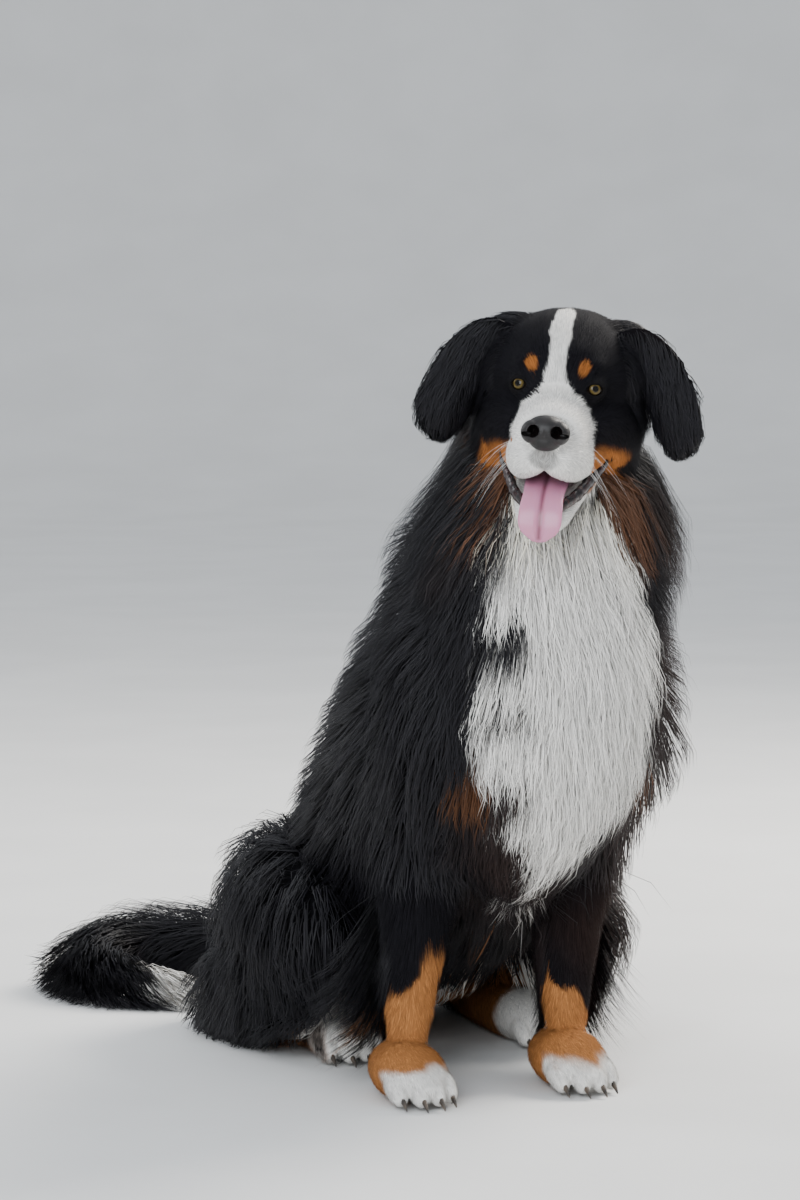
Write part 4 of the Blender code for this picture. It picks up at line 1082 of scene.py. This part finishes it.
def tuft_points(tufts, pick, keep):
    """Each tuft's points, three to a ring and one at the tip, with their normals and their place on it."""
    lines, side, facing = (tufts[k][pick][:, keep] for k in ("lines", "side", "facings"))
    breadth = BREADTH[keep][:-1] / BREADTH[keep].max()
    half = tufts["width"][pick][:, None, None] * breadth[None, :, None] / 2
    middle, across, out = lines[:, :-1], side[:, :-1] * half, facing[:, :-1] * half
    rings = np.stack([middle - across, middle + across, middle + out * 0.5], 2)
    tips = lines[:, -1:, :]
    points = np.concatenate([rings.reshape(len(pick), -1, 3), tips], 1)
    lean = side[:, :-1] * SIDE_LEAN
    soft = np.stack([facing[:, :-1] - lean, facing[:, :-1] + lean, facing[:, :-1]], 2)
    soft = unit(np.concatenate([soft.reshape(-1, (len(keep) - 1) * 3, 3), facing[:, -1:]], 1))
    strand = np.zeros(points.shape)
    strand[:, :-1, 0] = np.tile([-1.0, 1.0, 0.0], len(keep) - 1)
    strand[:, :, 1] = np.append(np.repeat(RINGS[keep][:-1], 3), 1.0)
    strand[:, :, 2] = tufts["dice"][pick][:, None]
    return points, soft, strand


def tuft_faces(rings):
    """The triangles of one tuft, closed at its root and its tip."""
    last = (rings - 1) * 3
    faces = [(0, 2, 1), *thin_faces(rings)]
    faces += [(last + k, last + (k + 1) % 3, rings * 3) for k in range(3)]
    return np.array(faces)[:, ::-1]


def mesh_of(name, points, faces):
    mesh = bpy.data.meshes.new(name)
    mesh.vertices.add(len(points))
    mesh.vertices.foreach_set("co", points.astype(np.float32).ravel())
    mesh.loops.add(faces.size)
    mesh.loops.foreach_set("vertex_index", faces.astype(np.int32).ravel())
    mesh.polygons.add(len(faces))
    mesh.polygons.foreach_set("loop_start", np.arange(0, faces.size, 3, dtype=np.int32))
    mesh.polygons.foreach_set("use_smooth", np.ones(len(faces), bool))
    mesh.update(calc_edges=True)
    return placed(name, mesh)


def moved(obj, points):
    """Puts a mesh's points in new places."""
    obj.data.vertices.foreach_set("co", points.astype(np.float32).ravel())


def point_values(obj, name, values):
    """Gives a mesh's points a number, a vector or a colour each."""
    kind, key = {1: ("FLOAT", "value"), 3: ("FLOAT_VECTOR", "vector"), 4: ("FLOAT_COLOR", "color")}[
        values.shape[1]
    ]
    layer = obj.data.attributes.new(name, kind, "POINT")
    layer.data.foreach_set(key, values.astype(np.float32).ravel())


def point_colours(obj, colours):
    point_values(obj, "coat_colour", np.hstack([colours, np.ones((len(colours), 1))]))


PATCH = 0.003  # a tuft's share of its piece's map
MARGIN, END = 0.03, 0.02  # what a map leaves free beside each stretch, and at its ends


def coat_piece(name, tufts, pick, columns, keep):
    """One piece of the coat, with a patch for each tuft at its root's place on the unrolled skin."""
    points, soft, strand = tuft_points(tufts, pick, keep)
    count, each = points.shape[:2]
    faces = (tuft_faces(len(keep) - 1)[None] + (np.arange(count) * each)[:, None, None]).reshape(-1, 3)
    obj = mesh_of(name, points.reshape(-1, 3), faces)
    obj.data.normals_split_custom_set_from_vertices(soft.reshape(-1, 3))
    seen = tufts["lines"][pick, 0 if "feathers" in name else 2]
    colour = marking(seen, tufts["head"][pick]) * tufts["tone"][pick][:, None]
    # Painted light: each tuft darkens towards its root as painted shade, less on pale coat, and lightens a
    # little towards its tip.
    shade = 0.45 - 0.25 * ramp(colour.max(1), 0.2, 0.6)[:, None]
    light = 1 - shade * (1 - ramp(strand[:, :, 1], 0.0, 0.4)) + 0.12 * strand[:, :, 1]
    point_colours(obj, (colour[:, None] * light[:, :, None]).reshape(-1, 3))
    point_values(obj, "strand", strand.reshape(-1, 3))
    column = np.array([columns.index(n) for n in tufts["number"][pick]])
    turn = tufts["angle"][pick] / (2 * math.pi) + 0.5
    u = (column + MARGIN + (1 - 2 * MARGIN) * turn) / len(columns)
    v = END + (1 - 2 * END) * tufts["share"][pick]
    spot = np.stack([u, v], 1)[:, None] + strand[:, :, :2] * [PATCH / 2, PATCH]
    corner = np.zeros(faces.size, int)
    obj.data.loops.foreach_get("vertex_index", corner)
    unrolled = obj.data.uv_layers.new(name="OFBake")
    unrolled.data.foreach_set("uv", spot.reshape(-1, 2)[corner].astype(np.float32).ravel())
    return obj


PIECE_TRIANGLES = 190000
SHORT_PIECES = ("coat_head", "coat_face", "coat_legs")
SLOTS = {"coat_chest": "white_coat", "coat_face": "white_coat", "coat_legs": "rust_coat"}
LONG_RINGS, SHORT_RINGS = np.array([0, 1, 3, 4]), np.array([0, 4])


def make_coat(skin, coats, coat, dense):
    tufts = grow_coat(skin, coats, coat, dense)
    names = tufts["names"]
    made = []
    for name in sorted(set(names)):
        pick = np.nonzero(names == name)[0]
        pick = pick[np.argsort(tufts["roots"][pick, 0] + tufts["number"][pick] * 10, kind="stable")]
        keep = SHORT_RINGS if name in SHORT_PIECES else LONG_RINGS
        parts = math.ceil(len(pick) * len(tuft_faces(len(keep) - 1)) / PIECE_TRIANGLES)
        for k, part in enumerate(np.array_split(pick, parts)):
            columns = sorted(set(tufts["number"][part]))
            label = name if parts == 1 else f"{name}_{k + 1}"
            made.append(coat_piece(label, tufts, part, columns, keep))
    return made


def colour_skin(skin, coats, coat):
    """Paints the skin, and gives how many tufts to a square metre each of its points wants."""
    points, _ = arrays(skin)
    _, values, number, _, _ = coat.read(points)
    headness = np.array([c.kind in ("head", "ear") for c in coats])[number].astype(float)
    colour = marking(points, headness)
    # Painted shade: the skin under the hair takes the coat's colour darkened, less so under pale coat.
    colour *= (0.5 + 0.35 * ramp(colour.max(1), 0.2, 0.7))[:, None]
    head = into_head(points)
    colour = mix(colour, MOUTH, mouth_inside(head))
    colour = mix(colour, LEATHER, ramp(corner_distance(head), 0.011, 0.008))
    colour = mix(colour, LEATHER * 0.6, ramp(rim_reach(head), 2.2, 1.7))
    # Painted shade on the skin under the nose pad.
    colour = mix(colour, NOSTRIL_SHADE, ramp(nose_reach(head), 1.08, 0.98))
    point_colours(skin, colour)
    return values[:, 1 + coat.HABITS.index("dense")]


STREAK_SIZES = (3.2, 0.8, 57.0)  # across a tuft, along it, and from tuft to tuft
# The eye by the angle from the middle of the gaze: the pupil, brown, the dark rim and the corners
IRIS = [
    (0.0, (0.002, 0.002, 0.002)),
    (0.28, (0.002, 0.002, 0.002)),
    (0.32, (0.045, 0.028, 0.007)),
    (0.43, (0.100, 0.068, 0.014)),
    (0.54, (0.045, 0.030, 0.007)),
    (0.61, (0.004, 0.003, 0.002)),
    (0.80, (0.012, 0.008, 0.006)),
    (1.0, (0.020, 0.012, 0.009)),
]


class Surface:
    """A material in the making, with these values on its Principled shader's own sockets."""

    def __init__(self, name, roughness, **values):
        self.material = bpy.data.materials.new(name)
        self.material.use_nodes = True
        tree = self.material.node_tree
        self.nodes, self.link = tree.nodes, tree.links.new
        self.sockets = self.nodes["Principled BSDF"].inputs
        for key, value in {"Roughness": roughness, "Metallic": 0.0, **values}.items():
            self.sockets[key.replace("_", " ")].default_value = value

    def node(self, kind, **values):
        """A new node. A value goes to the socket of its name, or else to the node's own setting."""
        made = self.nodes.new("ShaderNode" + kind)
        for key, value in values.items():
            socket = key.replace("_", " ")
            if socket in made.inputs:
                made.inputs[socket].default_value = value
            else:
                setattr(made, key, value)
        return made

    def attribute(self, name, output):
        return self.node("Attribute", attribute_name=name).outputs[output]

    def place(self):
        return self.node("TexCoord").outputs["Object"]

    def noise(self, scale, detail=3.0, place=None):
        made = self.node("TexNoise", Scale=scale, Detail=detail)
        self.link(self.place() if place is None else place, made.inputs["Vector"])
        return made.outputs["Fac"]

    def cells(self, scale):
        made = self.node("TexVoronoi", Scale=scale)
        self.link(self.place(), made.inputs["Vector"])
        return made.outputs["Distance"]

    def tint(self, source, stops):
        """The colours of a ramp, read by a source."""
        made = self.node("ValToRGB")
        elements = made.color_ramp.elements
        while len(elements) < len(stops):
            elements.new(0.5)
        for element, (place, colour) in zip(elements, stops):
            element.position = place
            element.color = (*colour, 1.0)
        self.link(source, made.inputs["Fac"])
        return made.outputs["Color"]

    def finish(self, colour, height, strength, distance, invert=False):
        """Sets the colour and the relief, and gives the material."""
        self.link(colour, self.sockets["Base Color"])
        bump = self.node("Bump", Strength=strength, Distance=distance, invert=invert)
        self.link(height, bump.inputs["Height"])
        self.link(bump.outputs["Normal"], self.sockets["Normal"])
        return self.material


def coat_material(name, roughness, shine):
    """Hair: the point's own colour, streaked along each tuft."""
    made = Surface(name, roughness, Specular_IOR_Level=shine)
    stretch = made.node("VectorMath", operation="MULTIPLY")
    stretch.inputs[1].default_value = STREAK_SIZES
    made.link(made.attribute("strand", "Vector"), stretch.inputs[0])
    streak = made.noise(1.0, 2.0, stretch.outputs[0])
    tone = made.node("MapRange", From_Min=0.3, From_Max=0.7, To_Min=0.62, To_Max=1.25)
    made.link(streak, tone.inputs["Value"])
    tinted = made.node("VectorMath", operation="SCALE")
    made.link(made.attribute("coat_colour", "Color"), tinted.inputs[0])
    made.link(tone.outputs["Result"], tinted.inputs["Scale"])
    return made.finish(tinted.outputs[0], streak, 0.5, 0.0006)


def skin_material():
    made = Surface("Skin", 0.95, Specular_IOR_Level=0.06)
    return made.finish(made.attribute("coat_colour", "Color"), made.noise(900.0), 0.35, 0.0006)


def make_eye(side):
    """An eyeball with a bulging cornea, and how far each point is from the middle of the gaze."""
    sign = SIDES[side]
    look, _, up = eye_axes(sign)
    look = (look + up * GAZE_LIFT).normalized()
    eye = ball(f"eyeball_{side}", Vector((0, 0, 0)), [EYE_RADIUS - 0.0002] * 3, 64, 48)
    points, _ = arrays(eye)
    angle = np.arccos(np.clip(unit(points) @ np.array(look), -1, 1))
    bulge = 1 + 0.06 * ramp(angle, 0.62, 0.30)
    points = points * bulge[:, None] + np.array(eye_centre(sign))
    moved(eye, points)
    point_values(eye, "gaze", angle[:, None])
    return smooth_shaded(in_head(eye))


def eye_material():
    made = Surface("Eye", 0.08, Specular_IOR_Level=0.04, Coat_Weight=0.40, Coat_Roughness=0.02)
    shift = made.node("Math", operation="MULTIPLY_ADD")
    made.link(made.noise(700.0), shift.inputs[0])
    shift.inputs[1].default_value = 0.08
    made.link(made.attribute("gaze", "Fac"), shift.inputs[2])
    made.link(made.tint(shift.outputs[0], IRIS), made.sockets["Base Color"])
    return made.material


def make_nose():
    """The bare nose pad, with comma-shaped nostrils and the groove between them."""
    pieces = []
    for place, sizes in NOSE_LUMPS:
        for sign in SIGNS if place[0] else [1.0]:
            pieces.append(ball("Lump", NOSE_PLACE + Vector((sign * place[0], *place[1:])), sizes))
    nose = fused("nose_pad", pieces, LUMP_VOXEL, 6)
    for sign in SIGNS:
        for place, sizes in ((NOSTRIL_PLACE, NOSTRIL_SIZES), (SLIT_PLACE, SLIT_SIZES)):
            hole = ball("Nostril", NOSE_PLACE + Vector((sign * place[0], *place[1:])), sizes)
            boolean(nose, hole, "DIFFERENCE")
    boolean(nose, ball("Groove", NOSE_PLACE + Vector(PAD_GROOVE), PAD_GROOVE_SIZES), "DIFFERENCE")
    nose = fused("nose_pad", [nose], PAD_VOXEL, 2)
    points, _ = arrays(nose)
    away = mirrored(points) - np.array(NOSE_PLACE)
    inside = np.linalg.norm((away - np.array(NOSTRIL_PLACE)) / np.array(NOSTRIL_SIZES), axis=1)
    # Painted shade darkens the inside of each nostril.
    point_colours(nose, mix(NOSTRIL_SHADE, PAD_GREY, ramp(inside, 0.95, 1.25)))
    return smooth_shaded(in_head(nose))


def leather_material():
    made = Surface("Nose_leather", 0.40, Specular_IOR_Level=0.35)
    tint = made.tint(made.noise(90.0), [(0.3, (0.6, 0.6, 0.6)), (0.7, (1.7, 1.6, 1.6))])
    both = made.node("VectorMath", operation="MULTIPLY")
    made.link(made.attribute("coat_colour", "Color"), both.inputs[0])
    made.link(tint, both.inputs[1])
    return made.finish(both.outputs[0], made.cells(1100.0), 0.5, 0.0004, True)


TONGUE_HALF, TONGUE_CURL, GROOVE_DEPTH = 0.024, 0.0035, 0.0028
GROOVE_WIDTH = 0.11  # as a share of the tongue's half width


def make_tongue():
    """A hanging tongue, with a groove down its middle and a rounded edge."""
    tongue = loft("tongue_soft", TONGUE, sides=36, steps=8)
    points, normals = arrays(tongue)
    across = points[:, 0] / TONGUE_HALF
    groove = np.exp(-((across / GROOVE_WIDTH) ** 2)) * GROOVE_DEPTH
    top = ramp(normals @ np.array([0, -0.7, 0.7]), 0.0, 0.5)
    points -= normals * (groove * top)[:, None]
    points[:, 1] -= TONGUE_CURL * (across**2) * ramp(-points[:, 1], 0.15, 0.18)
    moved(tongue, points)
    # The groove's share, which the material paints darker as painted shade in the crease.
    point_values(tongue, "groove", (groove / GROOVE_DEPTH * top)[:, None])
    return smooth_shaded(in_head(recalculated(tongue)))


def tongue_material():
    soft = dict(Subsurface_Weight=0.25, Subsurface_Radius=(0.004, 0.0015, 0.001), Subsurface_Scale=1.0)
    made = Surface("Tongue", 0.32, **soft)
    # Painted shade: the tongue is coloured darker down its groove.
    stops = [(0.0, (0.54, 0.22, 0.34)), (1.0, (0.22, 0.06, 0.10))]
    colour = made.tint(made.attribute("groove", "Fac"), stops)
    return made.finish(colour, made.cells(1400.0), 0.35, 0.0003, True)


LIP_RISE = 0.002
LIP_WIDTH, LIP_DEPTH = 0.62, 1.05  # as times the radius of its stations


def make_lips():
    """The black, notched rim of the lower lip, from corner to corner."""
    half = spline(LOWER_LIP, 24)
    line = np.vstack([half[:-1] * [-1, 1, 1, 1], half[::-1]])
    at = np.arange(len(line))
    frill = 1 + 0.035 * np.sin(at * 0.93) + 0.03 * np.sin(at * 0.41 + 1.0)
    flop = 0.0004 * np.sin(at * 0.67)
    stations = [
        (x + o * np.sign(x), y, z + LIP_RISE, r * LIP_WIDTH * f, r * LIP_DEPTH * f)
        for (x, y, z, r), f, o in zip(line, frill, flop)
    ]
    lips = loft("lips", stations, sides=16, steps=1)
    return smooth_shaded(in_head(recalculated(lips)))


def lip_material():
    made = Surface("Lips", 0.26, Specular_IOR_Level=0.3)
    stops = [(0.45, (0.008, 0.006, 0.007)), (0.75, (0.05, 0.018, 0.018))]
    return made.finish(made.tint(made.noise(160.0), stops), made.noise(420.0, 2.0), 0.4, 0.0006)


HAIR_RINGS = 7
WHISKER_ROWS, WHISKERS_IN_ROW = 3, 4
WHISKER_RADIUS, WHISKER_BEND = 0.00019, (0, 0.25, -0.55)
CLAW_RADIUS, CLAW_HEIGHT = 0.0050, 0.015  # at the root
CLAW_LENGTH, CLAW_DROP, CLAW_TAPER = 0.023, 0.012, 0.78


def hairs(name, starts, ways, lengths, radius, bend):
    """Single stiff hairs, each a thin tapering tube."""
    last = (HAIR_RINGS - 1) * 3
    pattern = np.array([*thin_faces(HAIR_RINGS), (0, 2, 1), (last, last + 1, last + 2)])
    points, faces = [], []
    for start, way, length in zip(starts, ways, lengths):
        faces.append(pattern + len(points))
        way = unit(way)
        across, depth_way = ring_axes(way[None])
        for k in range(HAIR_RINGS):
            t = k / (HAIR_RINGS - 1)
            middle = start + way * length * t + np.array(bend) * length * t * t
            size = radius * (1 - 0.85 * t)
            for angle in (0, 2.094, 4.189):
                points.append(middle + (across[0] * math.cos(angle) + depth_way[0] * math.sin(angle)) * size)
    return in_head(mesh_of(name, np.array(points), np.vstack(faces)))


def make_whiskers():
    chance = np.random.default_rng(SEED + 1)
    starts, ways, lengths = [], [], []
    for sign in SIGNS:
        for row in range(WHISKER_ROWS):
            for k in range(WHISKERS_IN_ROW):
                side = sign * (0.037 + 0.002 * row - 0.002 * k)
                starts.append([side, -0.115 - 0.013 * k, -0.062 - 0.010 * row])
                spread = chance.uniform(-0.35, 0.35)
                ways.append([sign * 1.0, -0.25 + 0.15 * k + spread, -0.30 - 0.25 * row + spread * 0.5])
                lengths.append(chance.uniform(0.028, 0.060))
    return hairs("whiskers", np.array(starts), np.array(ways), lengths, WHISKER_RADIUS, WHISKER_BEND)


def make_claws():
    pieces = []
    for x, y in toe_roots():
        for across, front in TOES:
            root = y + front - 0.006
            stations = []
            for t in np.linspace(0, 1, 6):
                size = CLAW_RADIUS * (1 - CLAW_TAPER * t * t)
                spot = (x + across, root - CLAW_LENGTH * t, CLAW_HEIGHT - CLAW_DROP * t * t)
                stations.append((*spot, size * 0.75, size))
            pieces.append(loft("Claw", stations, sides=12, steps=2))
    return smooth_shaded(recalculated(joined("claws", pieces)))


def plain_material(name, low, high, scale, roughness):
    """Two tones mottled by noise, for small bare parts."""
    made = Surface(name, roughness)
    noise = made.noise(scale)
    return made.finish(made.tint(noise, [(0.35, low), (0.65, high)]), noise, 0.2, 0.0003)


LIT = Vector((0, 0, 0.5))  # where the lights point


def area_light(name, place, size, power, colour):
    data = bpy.data.lights.new(name, "AREA")
    data.shape = "RECTANGLE"
    data.size = data.size_y = size
    data.energy = power
    data.color = colour
    light = placed(name, data)
    light.location = place
    light.rotation_euler = (LIT - Vector(place)).to_track_quat("-Z", "Y").to_euler()


FLAT, BEND, WALL = (0.02, 3.0, 6.0), 4.0, 7.0  # the floor's rings, the wall's bend and its height
BEND_START, BEND_STEPS, FLOOR_SIDES = 9.0, 12, 72
SKY = (0.90, 0.94, 1.0, 1.0)


def studio():
    """A pale floor that rises into a round wall far off, and soft lights."""
    rows = [(reach, 0.0) for reach in FLAT]
    for k in range(BEND_STEPS + 1):
        angle = math.pi / 2 * k / BEND_STEPS
        rows.append((BEND_START + BEND * math.sin(angle), BEND - BEND * math.cos(angle)))
    rows.append((BEND_START + BEND, WALL))
    points = []
    for reach, height in rows:
        for k in range(FLOOR_SIDES):
            angle = 2 * math.pi * k / FLOOR_SIDES
            points.append((reach * math.cos(angle), reach * math.sin(angle), height))
    around = tube_faces(len(rows), FLOOR_SIDES)
    faces = [tuple(range(FLOOR_SIDES)), *[(a, d, c, b) for a, b, c, d in around]]
    floor = mesh_object("studio_floor", points, faces)
    smooth_shaded(floor)
    floor.data.materials.append(plain_material("Floor", (0.74, 0.74, 0.73), (0.78, 0.78, 0.77), 3.0, 0.8))
    world = bpy.data.worlds.new("Studio")
    bpy.context.scene.world = world
    world.use_nodes = True
    background = world.node_tree.nodes["Background"]
    background.inputs["Color"].default_value = SKY
    background.inputs["Strength"].default_value = 1.0
    area_light("Key", (2.6, 0.6, 2.6), 1.6, 210, (1.0, 0.95, 0.88))
    area_light("Fill", (-2.8, -3.6, 2.2), 2.4, 180, (0.92, 0.96, 1.0))
    area_light("Rim", (-1.8, 2.6, 2.4), 1.4, 30, (0.95, 0.98, 1.0))


LENS, SENSOR = 135.0, 36.0
STAND = Vector((-2.101, -4.681, 1.0265))  # the camera's place, from the forefeet
LOOK_DOWN, LOOK_ROUND = 5.1, -23.0  # degrees


def camera():
    data = bpy.data.cameras.new("Camera")
    data.lens = LENS
    data.sensor_width = SENSOR
    obj = placed("Camera", data)
    obj.location = STAND + Vector(ORIGIN)
    obj.rotation_euler = (math.radians(90 - LOOK_DOWN), 0, math.radians(LOOK_ROUND))
    bpy.context.scene.camera = obj


FLESH = [
    "torso", "neck", "head", "ear_left", "ear_right", "lower_jaw", "tail_base", "tail_middle", "tail_bend",
    "tail_tip", "hindleg_left", "hindleg_right", "foreleg_left", "foreleg_right", "hind_foot_left",
    "hind_foot_right", "forepaw_left", "forepaw_right",
]


def dress(piece, material, slot, *nodes):
    """Gives a piece its material, its place on the model and the nodes that it stands for."""
    piece.data.materials.clear()
    piece.data.materials.append(material)
    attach(piece, "root")
    if nodes:
        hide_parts(*nodes)


def main():
    coats = stretches()
    skin = make_skin(coats)
    coat = Coat(coats)
    dense = colour_skin(skin, coats, coat)
    dress(skin, skin_material(), "black_coat", *FLESH)
    hair, fur = coat_material("Long_hair", 0.48, 0.19), coat_material("Short_fur", 0.80, 0.09)
    for piece in make_coat(skin, coats, coat, dense):
        slot = next((SLOTS[key] for key in SLOTS if piece.name.startswith(key)), "black_coat")
        dress(piece, fur if piece.name.startswith(SHORT_PIECES) else hair, slot)
    eye = eye_material()
    for side in SIDES:
        dress(make_eye(side), eye, "eye", f"eye_{side}")
    dress(make_nose(), leather_material(), "nose_leather", "nose")
    dress(make_tongue(), tongue_material(), "tongue", "tongue")
    dress(make_lips(), lip_material(), "nose_leather")
    whisker = plain_material("Whisker", (0.8, 0.8, 0.78), (0.9, 0.9, 0.88), 60.0, 0.4)
    dress(make_whiskers(), whisker, "white_coat")
    claw = plain_material("Claw", (0.02, 0.016, 0.014), (0.10, 0.075, 0.055), 120.0, 0.35)
    dress(make_claws(), claw, "nose_leather")
    studio()
    camera()


main()
